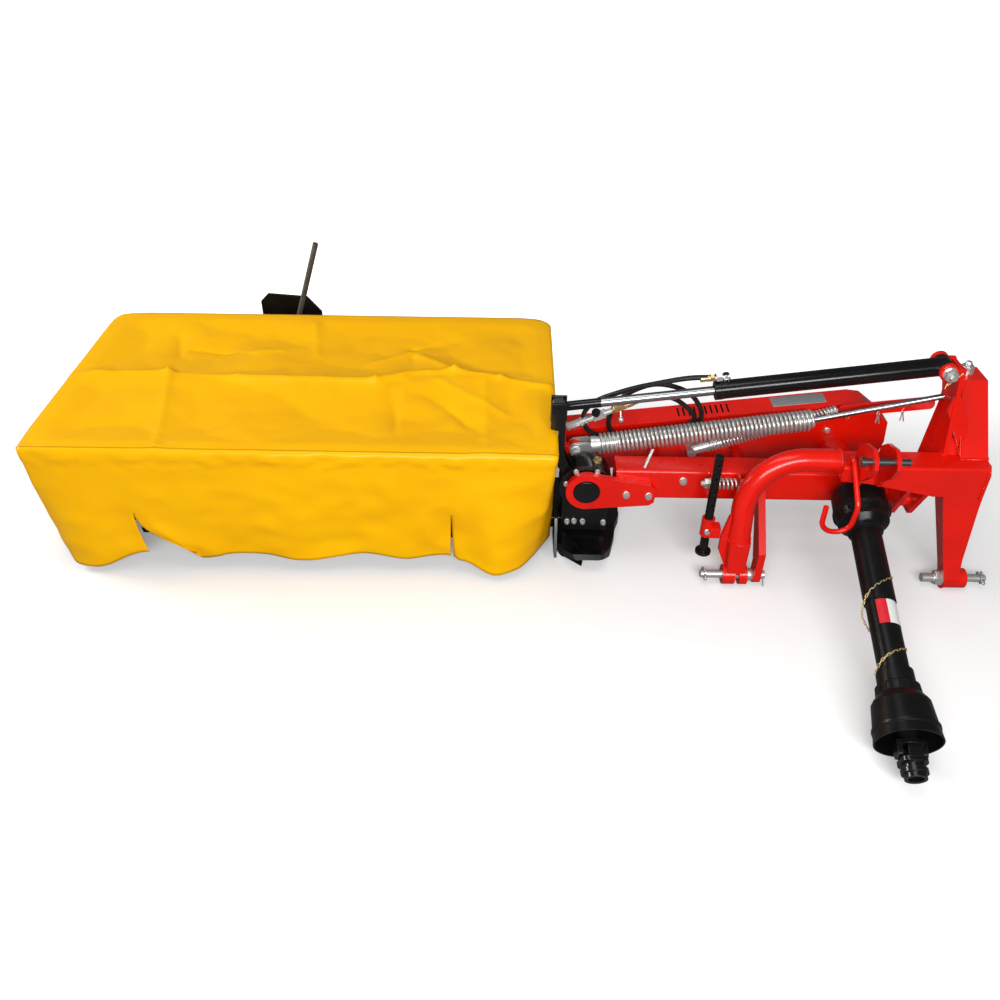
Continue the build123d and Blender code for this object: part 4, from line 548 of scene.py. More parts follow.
def split_skirt(bm, along_x, along_y, fall):
    """Split the front skirt along its cuts. Gives the layer of sides, and each cut's column and start."""
    side = bm.verts.layers.float.new("side")
    front_rim = -GUARD_HALF.y + 0.0001
    cut_columns = []
    for cut_x, cut_top, *_ in CUTS:
        front = [vert[along_x] for vert in bm.verts if vert[along_y] < front_rim]
        column = min(front, key=lambda x: abs(x + GUARD_MID.x - cut_x))
        start = (GUARD_TOP - cut_top) / (GUARD_TOP - canopy_low.z)

        def on_cut(vert):
            return abs(vert[along_x] - column) < 0.0001 and vert[along_y] < front_rim
        seam = [edge for edge in bm.edges if all(on_cut(vert) and vert[fall] >= start for vert in edge.verts)]
        bmesh.ops.split_edges(bm, edges=seam)
        for vert in bm.verts:
            if on_cut(vert) and vert[fall] > start:
                others = [v[along_x] for face in vert.link_faces for v in face.verts]
                vert[side] = 1 if sum(others) / len(others) > column else -1
        cut_columns.append((column, start))
    return side, cut_columns


def build_guard(bm):
    """Grid for the top, its rim extruded ring by ring into the skirts, then cut and creased."""
    columns = round(2 * GUARD_HALF.x / CELL)
    rows = round(2 * GUARD_HALF.y / CELL)
    bmesh.ops.create_grid(bm, x_segments=columns, y_segments=rows, size=1)
    along_x = bm.verts.layers.float.new("along_x")
    along_y = bm.verts.layers.float.new("along_y")
    fall = bm.verts.layers.float.new("fall")
    for vert in bm.verts:
        vert[along_x] = vert.co.x * GUARD_HALF.x
        vert[along_y] = vert.co.y * GUARD_HALF.y
    rim = [edge for edge in bm.edges if edge.is_boundary]
    for ring in range(1, SKIRT_RINGS + 1):
        made = bmesh.ops.extrude_edge_only(bm, edges=rim)
        for vert in verts_of(made):
            vert[fall] = ring / SKIRT_RINGS
        rim = [item for item in made["geom"]
               if isinstance(item, bmesh.types.BMEdge) and item.verts[0][fall] == item.verts[1][fall]]
    side, cut_columns = split_skirt(bm, along_x, along_y, fall)
    front_y = GUARD_MID.y - GUARD_HALF.y
    for vert in bm.verts:
        x, y, drop = vert[along_x], vert[along_y], vert[fall]
        if drop == 0:
            vert.co = top_point(x, y)
            continue
        top_spot = rounded_point(x, y, TOP_CORNER) + GUARD_MID.xy
        hem_spot = rounded_point(x, y, HEM_CORNER) + GUARD_MID.xy
        hem_height, stand_out = canopy_low.z, 0.0
        front = y < 0 and hem_spot.y < front_y + FRONT_CORNER
        if front:
            hem_height, stand_out = rim_key(hem_spot.x, FRONT_HEM)
            share = 1 - max(hem_spot.y - front_y, 0) / FRONT_CORNER
            hem_height = canopy_low.z * (1 - share) + hem_height * share
            stand_out *= share
            out = Vector((0, -1))
        else:
            hem_height += 0.008 * cloth_noise(*hem_spot, 0, 0.22, 9.1)
            out = Vector((x / GUARD_HALF.x, y / GUARD_HALF.y))
            out = Vector((round(out.x), 0)) if abs(out.x) > 0.999 else Vector((0, round(out.y)))
        ease = drop ** 1.15
        spot = top_spot.lerp(hem_spot, ease) + out * stand_out * ease
        spot += out * skirt_wave(spot, drop, out)
        if front:
            band = FRONT_BAND * (0.55 + 1.3 * cloth_noise(spot.x, 0, 0, 0.07, 5.9))
            spot += out * band * math.sin(math.pi * min(drop / 0.11, 1))
            for (column, start), (_, _, left_gap, right_gap, power) in zip(cut_columns, CUTS):
                on_right = x > column + 0.0001 or vert[side] > 0
                away = abs(x - column)
                if drop > start and away < CUT_SPREAD:
                    opening = ((drop - start) / (1 - start)) ** power
                    spot.x += (right_gap if on_right else left_gap) * opening * (1 - away / CUT_SPREAD) ** 2
        height = GUARD_TOP - 0.001 - 0.6 * FOLD_RADIUS
        height += (hem_height - height) * drop
        vert.co = (spot.x, spot.y, height)
    opened = []
    for face in bm.faces:
        spot = face.calc_center_median()
        falls = max(vert[fall] for vert in face.verts)
        at_beam = spot.x > canopy_high.x - 0.05 and INNER_OPENING[0] < spot.y < INNER_OPENING[1]
        in_board = BOARD_OPENING[0] < spot.x < BOARD_OPENING[1] and spot.y > BOARD_FRONT
        if (at_beam and falls > 0.09) or (in_board and spot.z < BOARD_OPENING[2]):
            opened.append(face)
    bmesh.ops.delete(bm, geom=opened, context="FACES")


amber_fabric, tree, shader = new_material("amber_fabric")
set_values(shader, {"Specular IOR Level": 0.20})
place = add_node(tree, "ShaderNodeTexCoord")
clouds = noise_node(tree, 6, 5)
cloth_tone = mix_colour(tree, {6: (1.0, 0.53, 0.0, 1), 7: (0.95, 0.44, 0.0, 1)})
crumple = noise_node(tree, 34, 4)
crumple_bump = add_node(tree, "ShaderNodeBump", {"Strength": 0.22, "Distance": 0.004})
gloss = add_node(tree, "ShaderNodeMapRange", {"To Min": 0.24, "To Max": 0.38})
cloth_spot = add_node(tree, "ShaderNodeSeparateXYZ")
# Painted shade: a dark amber line along the top's front edge, at the welded seam, stands in for the shade of a
# narrow valley there.
from_seam = add_node(tree, "ShaderNodeMath", {1: canopy_low.y + SEAM_BACK}, "SUBTRACT")
seam_side = add_node(tree, "ShaderNodeMath", operation="ABSOLUTE")
seam_shade_share = add_node(tree, "ShaderNodeMapRange", {"From Min": 0.0036, "From Max": 0.0008, "To Max": 0.75})
on_top = add_node(tree, "ShaderNodeMath", {1: canopy_high.z - 0.03}, "GREATER_THAN")
seam_shade_amount = add_node(tree, "ShaderNodeMath", operation="MULTIPLY")
seam_shade_tone = mix_colour(tree, {7: (0.42, 0.17, 0.0, 1)})
wire(
    tree,
    ((place, "Object"), (clouds, "Vector")),
    ((place, "Object"), (crumple, "Vector")),
    ((clouds, 0), (cloth_tone, 0)),
    ((place, "Object"), (cloth_spot, 0)),
    ((cloth_spot, "Y"), (from_seam, 0)),
    ((from_seam, 0), (seam_side, 0)),
    ((seam_side, 0), (seam_shade_share, "Value")),
    ((cloth_spot, "Z"), (on_top, 0)),
    ((seam_shade_share, 0), (seam_shade_amount, 0)),
    ((on_top, 0), (seam_shade_amount, 1)),
    ((seam_shade_amount, 0), (seam_shade_tone, 0)),
    ((cloth_tone, 2), (seam_shade_tone, 6)),
    ((seam_shade_tone, 2), (shader, "Base Color")),
    ((clouds, 0), (gloss, "Value")),
    ((gloss, 0), (shader, "Roughness")),
    ((crumple, 0), (crumple_bump, "Height")),
    ((crumple_bump, 0), (shader, "Normal")),
)
guard = shape_object("guard_cloth", build_guard, amber_fabric)
wall = guard.modifiers.new("wall", "SOLIDIFY")
wall.thickness = 0.0012
wall.offset = -1
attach(guard, "cutter")
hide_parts("canopy")

# Lift ears: the two plates beside the guard that hold the rod's eye, with square heads and narrow
# necks down to the gear housing. They stand for the ears of the frame, on the same two planes.
EAR_SHAPE = (
    (0.0865, 0.4520), (0.0865, 0.4975), (0.1290, 0.4975), (0.1290, 0.4500), (0.1265, 0.4420),
    (0.1275, 0.3360), (0.1400, 0.3050), (0.1500, 0.2800), (0.1280, 0.2720), (0.1105, 0.2950),
    (0.1105, 0.4120), (0.0865, 0.4180),
)
EAR_FACES = ((-0.135, -0.127), (-0.093, -0.085))


def build_ears(bm):
    for front, rear in EAR_FACES:
        outline = bm.faces.new([bm.verts.new((x, front, z)) for x, z in EAR_SHAPE])
        made = bmesh.ops.extrude_face_region(bm, geom=[outline])
        bmesh.ops.translate(bm, verts=verts_of(made), vec=(0, rear - front, 0))
        bm.faces.new([bm.verts.new((x, front, z)) for x, z in EAR_SHAPE])
    bmesh.ops.remove_doubles(bm, verts=bm.verts, dist=0.00001)
    bmesh.ops.recalc_face_normals(bm, faces=bm.faces)


def ease_edges(piece, width):
    """Round the edges of a plate with a modifier."""
    edge = piece.modifiers.new("edge", "BEVEL")
    edge.width = width
    edge.segments = 2


ears = shape_object("ear_plates", build_ears, finishes["black_paint"], sharp=0.5)
ease_edges(ears, 0.0012)
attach(ears, "cutter")
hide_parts("lift_ears")

# Slanting plate on the inner shoe that turns the cut grass away from the guard's corner: a strip of
# steel with one bend, standing on the sole.
GUIDE_STRIP = (
    # top edge, bottom edge
    ((0.1120, -0.1400, 0.1420), (0.1140, -0.1250, 0.0200)),
    ((0.1360, -0.1780, 0.1020), (0.1360, -0.1760, 0.0080)),
    ((0.1970, -0.2080, 0.0500), (0.1900, -0.2200, 0.0060)),
)


def build_guide(bm):
    pairs = [[bm.verts.new(spot) for spot in pair] for pair in GUIDE_STRIP]
    for (top_a, low_a), (top_b, low_b) in zip(pairs, pairs[1:]):
        bm.faces.new((top_a, low_a, low_b, top_b))
    bmesh.ops.solidify(bm, geom=bm.faces[:], thickness=0.006)
    bmesh.ops.recalc_face_normals(bm, faces=bm.faces)


guide = shape_object("shoe_guide", build_guide, finishes["black_paint"], sharp=0.3)
ease_edges(guide, 0.001)
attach(guide, "cutter")

# Coil springs of zinc wire, with the gaps between their coils. Each takes the place of the sleeve
# that stands for it in the frame, with that sleeve's ends and nearly its outer size.
SPRINGS = (
    # name, replaced node, start, end, outer radius, wire radius, pitch
    ("float_coils", "float_spring",
     (0.225, -0.040, 0.31234), (0.822, -0.040, 0.403), 0.0303, 0.0046, 0.0121),
    ("aux_coils", "aux_spring",
     (0.551, 0.013, 0.276), (0.905, 0.013, 0.400), 0.0190, 0.0032, 0.0100),
    ("breakaway_coils", "breakaway_spring",
     (0.540, -0.177, 0.278), (0.604, -0.177, 0.278), 0.0165, 0.0032, 0.0120),
)
WIRE_SIDES = 8
COIL_STEPS = 24
UPRIGHT = Matrix.Rotation(math.pi / 2, 4, "X")


def frame_along(origin, direction):
    """A matrix that stands at an origin with its Z along a direction."""
    ahead_axis = Vector(direction).normalized()
    side_axis = ahead_axis.cross(Vector((0, 0, 1)))
    if side_axis.length < 0.01:
        side_axis = Vector((1, 0, 0))
    side_axis.normalize()
    turned = Matrix((side_axis, ahead_axis.cross(side_axis), ahead_axis)).transposed().to_4x4()
    return Matrix.Translation(origin) @ turned


def add_part(bm, build, matrix=Matrix.Identity(4)):
    """Build a shape in a bmesh of its own and add it to another, placed by a matrix."""
    own = bmesh.new()
    build(own)
    bmesh.ops.recalc_face_normals(own, faces=own.faces)
    bmesh.ops.transform(own, matrix=matrix, verts=own.verts)
    holder = bpy.data.meshes.new("holder")
    own.to_mesh(holder)
    own.free()
    bm.from_mesh(holder)
    bpy.data.meshes.remove(holder)


def coil_turn(radius, wire_radius, pitch):
    """A build function for one turn of a coil about Z: a ring of wire spun round and up a pitch."""
    def build(bm):
        matrix = Matrix.Translation((radius - wire_radius, 0, wire_radius)) @ UPRIGHT
        ring = bmesh.ops.create_circle(
            bm, cap_ends=False, radius=wire_radius, segments=WIRE_SIDES, matrix=matrix)
        bmesh.ops.spin(
            bm, geom=ring["verts"] + bm.edges[:], cent=(0, 0, 0), axis=(0, 0, 1),
            dvec=(0, 0, pitch / COIL_STEPS), angle=2 * math.pi, steps=COIL_STEPS,
        )
    return build


for name, node, start, end, radius, wire_radius, coarse_pitch in SPRINGS:
    run = Vector(end) - Vector(start)
    turns = round(run.length / coarse_pitch)
    pitch = (run.length - 2 * wire_radius) / turns
    spring = shape_object(
        name,
        lambda bm: add_part(bm, coil_turn(radius, wire_radius, pitch), frame_along(start, run)),
        finishes["zinc_steel"],
    )
    stack = spring.modifiers.new("stack", "ARRAY")
    stack.count = turns
    stack.use_relative_offset = False
    stack.use_constant_offset = True
    stack.constant_offset_displace = run.normalized() * pitch
    stack.use_merge_vertices = True
    stack.merge_threshold = 0.00005
    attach(spring, "frame")
    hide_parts(node)

# Bolts and nuts on round washers: a bare hexagon head, or a nut with the end of its threaded stud
# standing out. They sit on the faces that they clamp.
FLATS_TO_CORNER = 1 / math.cos(math.pi / 6)
HEAD_EASE = 0.06


def turned(*profile, steps=28):
    """A build function that spins a profile of (height, radius) pairs a full turn about Z."""
    def build(bm):
        verts = [bm.verts.new((radius, 0, height)) for height, radius in profile]
        edges = [bm.edges.new(pair) for pair in zip(verts, verts[1:])]
        bmesh.ops.spin(
            bm, geom=verts + edges, cent=(0, 0, 0), axis=(0, 0, 1),
            angle=2 * math.pi, steps=steps, use_merge=True,
        )
        bmesh.ops.remove_doubles(bm, verts=bm.verts, dist=0.00001)
    return build


def raise_faces(bm, height, ease):
    """Extrude all faces of a bmesh up along Z, and ease the rim of their top."""
    risen = verts_of(bmesh.ops.extrude_face_region(bm, geom=bm.faces[:]))
    bmesh.ops.translate(bm, verts=risen, vec=(0, 0, height))
    rim = [edge for edge in bm.edges if all(vert in risen for vert in edge.verts)]
    bmesh.ops.bevel(bm, geom=rim, offset=ease, segments=2, profile=0.5, affect="EDGES", material=-1)


def hexagon(across, bottom, top):
    """A build function for a hexagon across its flats, from one height to another, its top eased."""
    def build(bm):
        bmesh.ops.create_circle(
            bm, cap_ends=True, radius=across / 2 * FLATS_TO_CORNER, segments=6,
            matrix=Matrix.Translation((0, 0, bottom)))
        raise_faces(bm, top - bottom, across * HEAD_EASE)
    return build


def threaded_end(radius, bottom, top):
    """A build function for a stud's end: shallow thread rings and a chamfered tip."""
    pitch = radius * 0.28
    rings = max(int((top - bottom - radius * 0.3) / pitch), 1)
    profile = [(bottom, radius)]
    for ring in range(rings):
        profile += [(bottom + (ring + 0.5) * pitch, radius * 0.88), (bottom + (ring + 1) * pitch, radius)]
    profile += [(top, radius * 0.78), (top, 0)]
    return turned(*profile, steps=16)


def add_fastener(bm, spot, direction, across, style):
    """Add a washer with a head or a nut to a bmesh, on a spot of a face."""
    matrix = frame_along(spot, direction)
    washer = across * 0.62
    high = across * 0.14
    profile = (-0.001, 0), (-0.001, washer), (high * 0.8, washer), (high, washer * 0.94), (high, 0)
    add_part(bm, turned(*profile), matrix)
    top = high + across * (0.52 if style == "nut" else 0.42)
    add_part(bm, hexagon(across, high, top), matrix)
    if style == "nut":
        add_part(bm, threaded_end(across * 0.30, top - 0.001, top + across * 0.36), matrix)


LEFT, RIGHT, FRONT, REAR, UP = (-1, 0, 0), (1, 0, 0), (0, -1, 0), (0, 1, 0), (0, 0, 1)
FASTENERS = (
    # piece, body, finish, then rows of: direction, width across flats, style, spots
    ("frame_bolts", "frame", "zinc_steel", (
        (FRONT, 0.017, "head", ((0.3037, -0.1736, 0.2328), (0.3662, -0.1736, 0.2296))),
        (FRONT, 0.018, "head", ((0.4600, -0.1552, 0.2700),)),
        (FRONT, 0.026, "head", ((0.1635, -0.0638, 0.3030),)),
        (LEFT, 0.026, "nut", ((0.5317, -0.1770, 0.2780),)),
        (RIGHT, 0.026, "nut", ((0.6124, -0.1770, 0.2780),)),
        (FRONT, 0.013, "head", ((0.5280, -0.2420, 0.1590),)),
        (LEFT, 0.038, "head", ((1.2043, -0.2680, 0.0280),)),
        (UP, 0.030, "nut", ((1.1950, -0.0460, 0.5662),)),
        (FRONT, 0.030, "nut", ((1.0980, -0.1502, 0.6160),)),
        (FRONT, 0.014, "head", ((0.9000, 0.0397, 0.3202), (0.9480, 0.0397, 0.2760),
                                (0.9000, 0.0397, 0.2260))),
        (REAR, 0.017, "head", ((0.4000, 0.1202, 0.2530), (0.6400, 0.1202, 0.2530))),
        (REAR, 0.014, "head", ((0.9000, 0.1202, 0.3000), (0.9600, 0.1202, 0.3000),
                               (0.9000, 0.1202, 0.2150), (0.9600, 0.1202, 0.2150))),
    )),
    ("cutter_bolts", "cutter", "zinc_steel", (
        (FRONT, 0.012, "head", ((0.1621, -0.1508, 0.2914), (0.2213, -0.1508, 0.2926),
                                (0.1360, -0.1508, 0.2500), (0.2500, -0.1508, 0.2500))),
        (FRONT, 0.013, "nut", ((0.1452, -0.1508, 0.1175), (0.1652, -0.1508, 0.1194),
                               (0.1901, -0.1508, 0.1184), (0.2496, -0.1508, 0.1163))),
    )),
)
for name, body, finish, rows in FASTENERS:
    def build_fasteners(bm):
        for direction, across, style, spots in rows:
            for spot in spots:
                add_fastener(bm, spot, direction, across, style)
    fasteners = shape_object(name, build_fasteners, finishes[finish], sharp=0.6)
    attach(fasteners, body)

# Hydraulic hose: 14 mm rubber hose that runs from the elbow on the lift cylinder and is stowed in two
# and a half loose turns behind the float spring, with its shut-off cock and quick coupler at the end.
HOSE_ROUTE = (
    (0.498, -0.110, 0.572), (0.470, -0.110, 0.572), (0.428, -0.108, 0.566), (0.372, -0.095, 0.545),
    (0.320, -0.078, 0.522), (0.274, -0.060, 0.495), (0.214, -0.025, 0.448), (0.183, 0.000, 0.393),
    (0.187, 0.008, 0.344), (0.212, 0.012, 0.315), (0.260, 0.014, 0.296), (0.340, 0.016, 0.300),
    (0.430, 0.016, 0.330), (0.495, 0.016, 0.345), (0.522, 0.014, 0.362), (0.523, 0.010, 0.390),
    (0.503, 0.000, 0.431), (0.475, -0.010, 0.466), (0.444, -0.015, 0.484), (0.409, -0.020, 0.496),
    (0.375, -0.022, 0.500), (0.346, -0.022, 0.493), (0.313, -0.015, 0.472), (0.288, -0.008, 0.448),
    (0.272, 0.000, 0.417), (0.261, 0.008, 0.379), (0.258, 0.014, 0.349), (0.268, 0.020, 0.318),
    (0.300, 0.024, 0.296), (0.380, 0.026, 0.300), (0.460, 0.024, 0.325), (0.500, 0.020, 0.348),
    (0.506, 0.016, 0.374), (0.490, 0.012, 0.396), (0.468, 0.008, 0.416), (0.441, 0.000, 0.440),
    (0.414, -0.010, 0.452), (0.386, -0.014, 0.455), (0.350, -0.012, 0.447), (0.318, -0.010, 0.431),
)
HOSE_RADIUS = 0.007
COUPLER_START = Vector(HOSE_ROUTE[-1])
COUPLER_RUN = Vector((0.140, 0.000, 0.342)) - COUPLER_START
ELBOW_START = Vector((0.5401, -0.110, 0.5762))
ELBOW_RUN = Vector((-0.990, 0.0, -0.141))
ELBOW_UPRIGHT = (0.141, 0, -0.990)
KNOB_RUN = (0.10, -0.45, -0.9)
CAP_RUN = (-0.15, -0.35, 0.93)


def smooth_tube(route, radius):
    """The mesh of a tube, or of its bare line, on a smooth spline whose control points are the route."""
    curve = bpy.data.curves.new("route", "CURVE")
    curve.dimensions = "3D"
    spline = curve.splines.new("NURBS")
    spline.points.add(len(route) - 1)
    for point, spot in zip(spline.points, route):
        point.co = (*spot, 1)
    spline.order_u = 3
    spline.use_endpoint_u = True
    spline.resolution_u = 8
    curve.bevel_depth = radius
    curve.bevel_resolution = 4
    curve.use_fill_caps = True
    holder = bpy.data.objects.new("route", curve)
    mesh = bpy.data.meshes.new_from_object(holder)
    bpy.data.objects.remove(holder)
    return mesh


def build_hose_end(bm):
    """The elbow's two union nuts and the crimped ferrule of the hose, along the elbow's arm."""
    matrix = frame_along(ELBOW_START, ELBOW_RUN)
    upright = frame_along(ELBOW_START, ELBOW_UPRIGHT)
    for end, arm in ((0.012, matrix), (0.006, upright)):
        add_part(bm, turned((-0.0085, 0), (-0.0085, 0.0075), (-0.007, 0.0086), (end, 0.0086), (end, 0)), arm)
    add_part(bm, hexagon(0.020, 0.004, 0.012), upright)
    add_part(bm, hexagon(0.022, 0.010, 0.026), matrix)
    add_part(bm, turned((0.024, 0.0085), (0.030, 0.0085), (0.031, 0.006)), matrix)


def build_ferrule(bm):
    """Crimped ferrule in yellow zinc with its hexagon."""
    matrix = frame_along(ELBOW_START, ELBOW_RUN)
    add_part(bm, hexagon(0.019, 0.030, 0.040), matrix)
    add_part(bm, turned((0.040, 0.0075), (0.041, 0.0092), (0.048, 0.0092), (0.049, 0.0084), (0.056, 0.0084),
                        (0.057, 0.0092), (0.066, 0.0092), (0.067, 0.0072)), matrix)


def build_coupler(bm):
    """Hexagon body of the coupler, its nipple and the sleeve with two rims, and the cock's ball."""
    matrix = frame_along(COUPLER_START, COUPLER_RUN)
    add_part(bm, turned((0.060, 0.0080), (0.078, 0.0080), (0.079, 0.010), (0.084, 0.010)), matrix)
    add_part(bm, hexagon(0.026, 0.082, 0.118), matrix)
    add_part(bm, turned((0.116, 0.009), (0.134, 0.009), (0.136, 0.0125), (0.141, 0.0125), (0.142, 0.010),
                        (0.148, 0.010), (0.150, 0.0135), (0.156, 0.0135), (0.158, 0.0115), (0.190, 0.0115),
                        (0.192, 0.0135), (0.197, 0.0135), (0.199, 0.011), (0.199, 0.007), (0.190, 0.006),
                        (0.190, 0)), matrix)
    knob = COUPLER_START + COUPLER_RUN.normalized() * 0.036
    add_part(bm, turned((0.006, 0.003), (0.026, 0.003), (0.027, 0.005), (0.031, 0.0078), (0.035, 0.0082),
                        (0.039, 0.0070), (0.042, 0.0035), (0.0425, 0)), frame_along(knob, KNOB_RUN))


def build_coupler_brass(bm):
    """Ferrule of the hose and the body of the cock, in yellow zinc."""
    matrix = frame_along(COUPLER_START, COUPLER_RUN)
    add_part(bm, turned((-0.004, 0.0073), (-0.003, 0.0090), (0.016, 0.0090), (0.018, 0.0068),
                        (0.022, 0.0068)), matrix)
    add_part(bm, hexagon(0.020, 0.020, 0.054), matrix)
    add_part(bm, turned((0.052, 0.0068), (0.056, 0.0068), (0.057, 0.0092), (0.062, 0.0092),
                        (0.063, 0.007)), matrix)


def turned_piece(name, finish, origin, direction, *profile):
    """A piece that is one profile turned about a line."""
    matrix = frame_along(origin, direction)
    return shape_object(name, lambda bm: add_part(bm, turned(*profile), matrix), finishes[finish], sharp=0.6)


hose = shape_object(
    "hose", lambda bm: bm.from_mesh(smooth_tube(HOSE_ROUTE, HOSE_RADIUS)), finishes["hose_rubber"])
hose_line = [vert.co.copy() for vert in smooth_tube(HOSE_ROUTE, 0).vertices]
hose_end = shape_object("hose_end", build_hose_end, finishes["zinc_steel"], sharp=0.6)
hose_ferrule = shape_object("hose_ferrule", build_ferrule, finishes["yellow_zinc"], sharp=0.6)
coupler = shape_object("coupler", build_coupler, finishes["zinc_steel"], sharp=0.6)
coupler_cock = shape_object("coupler_cock", build_coupler_brass, finishes["yellow_zinc"], sharp=0.6)
coupler_cap = turned_piece(
    "coupler_cap", "black_plastic", COUPLER_START + COUPLER_RUN.normalized() * 0.108, CAP_RUN,
    (0.010, 0), (0.010, 0.012), (0.020, 0.0125), (0.024, 0.010), (0.025, 0))
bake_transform(hose)
for piece, body, slot in (
    (hose_end, "barrel", "zinc_steel"), (hose_ferrule, "barrel", "zinc_steel"),
    (coupler, "frame", "zinc_steel"), (coupler_cock, "frame", "zinc_steel"),
    (coupler_cap, "frame", "black_plastic"),
):
    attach(piece, body)

# Safety chains of the driveshaft's guards: yellow zinc links of 1.8 mm wire that lie round the tubes.
shaft_start = Vector((0.930, -0.222, 0.262))
SHAFT_DROP = math.radians(15.2)
SHAFT_SWING = math.radians(3.4)
shaft_run = Vector((
    -math.sin(SHAFT_SWING) * math.cos(SHAFT_DROP),
    -math.cos(SHAFT_SWING) * math.cos(SHAFT_DROP),
    -math.sin(SHAFT_DROP),
))
shaft_side = Vector((math.cos(SHAFT_SWING), -math.sin(SHAFT_SWING), 0))
shaft_up = shaft_run.cross(shaft_side)
CHAINS = (
    # name, body, (distance along the shaft, angle round it in degrees, radius) for each route point
    ("chain_upper", "shaft", (
        (0.236, -60, 0.0405), (0.246, -20, 0.0415), (0.256, 15, 0.0415), (0.270, 50, 0.0415),
        (0.286, 85, 0.0415), (0.302, 120, 0.0415), (0.318, 155, 0.0415), (0.336, 180, 0.0440),
        (0.358, 196, 0.0480), (0.378, 200, 0.0450), (0.394, 192, 0.0400), (0.398, 215, 0.0390),
        (0.396, 260, 0.0395),
    )),
    ("chain_lower", "shaft_outer", (
        (0.452, -50, 0.0385), (0.458, -10, 0.0390), (0.466, 30, 0.0390), (0.476, 70, 0.0390),
        (0.488, 110, 0.0390), (0.500, 145, 0.0390), (0.512, 170, 0.0400), (0.524, 184, 0.0450),
        (0.534, 190, 0.0470),
    )),
)
LINK_PITCH = 0.0092
LINK_WIRE = 0.0010
LINK_RADIUS = 0.0024
LINK_DRAW = 0.0030


def shaft_point(distance, angle, radius):
    """A point round the driveshaft, at a distance along it."""
    turn = math.radians(angle)
    around = shaft_side * math.cos(turn) + shaft_up * math.sin(turn)
    return shaft_start + shaft_run * distance + around * radius


def ring_of_wire(radius, wire_radius, sides=8, steps=28):
    """A build function for a ring of round wire about Z."""
    def build(bm):
        matrix = Matrix.Translation((radius, 0, 0)) @ UPRIGHT
        ring = bmesh.ops.create_circle(bm, cap_ends=False, radius=wire_radius, segments=sides, matrix=matrix)
        bmesh.ops.spin(bm, geom=ring["verts"] + bm.edges[:], cent=(0, 0, 0), axis=(0, 0, 1),
                       angle=2 * math.pi, steps=steps, use_merge=True)
    return build


def chain_link(bm):
    """One link: a ring of wire, its two halves drawn apart along X into an oval."""
    ring_of_wire(LINK_RADIUS, LINK_WIRE, sides=7, steps=16)(bm)
    for vert in bm.verts:
        vert.co.x += LINK_DRAW if vert.co.x > 0 else -LINK_DRAW


def even_points(route, pitch):
    """Points a pitch apart on the smooth line through a route."""
    corners = [vert.co.copy() for vert in smooth_tube(route, 0).vertices]
    spots, left = [corners[0]], pitch
    for before, after in zip(corners, corners[1:]):
        step = (after - before).length
        while step >= left:
            before = before.lerp(after, left / step)
            step = (after - before).length
            left = pitch
            spots.append(before)
        left -= step
    return spots


for name, body, route in CHAINS:
    spots = even_points([shaft_point(*row) for row in route], LINK_PITCH)

    def build_chain(bm):
        for index, (before, after) in enumerate(zip(spots, spots[1:])):
            ahead_axis = (after - before).normalized()
            out = (before + after) / 2 - shaft_start
            out = (out - shaft_run * out.dot(shaft_run)).normalized()
            across = ahead_axis.cross(out).normalized()
            turned_in = Matrix((ahead_axis, across, across.cross(ahead_axis) * -1)).transposed().to_4x4()
            twist = Matrix.Rotation(math.radians(35 if index % 2 else -50), 4, "X")
            add_part(bm, chain_link, Matrix.Translation((before + after) / 2) @ turned_in @ twist)
    chain = shape_object(name, build_chain, finishes["yellow_zinc"])
    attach(chain, body)

# Sliding tube of the driveshaft: it rides with the lower guard and reaches up inside the upper one,
# so that the two guards stay joined when the shaft is drawn out.
SLIDE_FROM, SLIDE_TO = 0.200, 0.340
SLIDE_RADIUS = 0.0335
SLIDE_EASE = 0.001
slide_tube = turned_piece(
    "shaft_slide", "black_plastic", shaft_point(SLIDE_FROM, 0, 0), shaft_run,
    (0, 0), (0, SLIDE_RADIUS - SLIDE_EASE), (SLIDE_EASE, SLIDE_RADIUS),
    (SLIDE_TO - SLIDE_FROM, SLIDE_RADIUS), (SLIDE_TO - SLIDE_FROM, 0))
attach(slide_tube, "shaft_outer")
# Blank sticker on the sliding guard tube, one end red and the rest white, 70 mm long.
STICKER = (0.336, 0.404, -8, 128)
STICKER_RADIUS = 0.0364


def build_sticker(bm):
    """A curved patch that follows the tube."""
    bmesh.ops.create_grid(bm, x_segments=8, y_segments=24, size=0.5)
    for vert in bm.verts:
        distance = STICKER[0] + (STICKER[1] - STICKER[0]) * (vert.co.x + 0.5)
        angle = STICKER[2] + (STICKER[3] - STICKER[2]) * (vert.co.y + 0.5)
        vert.co = shaft_point(distance, angle, STICKER_RADIUS)


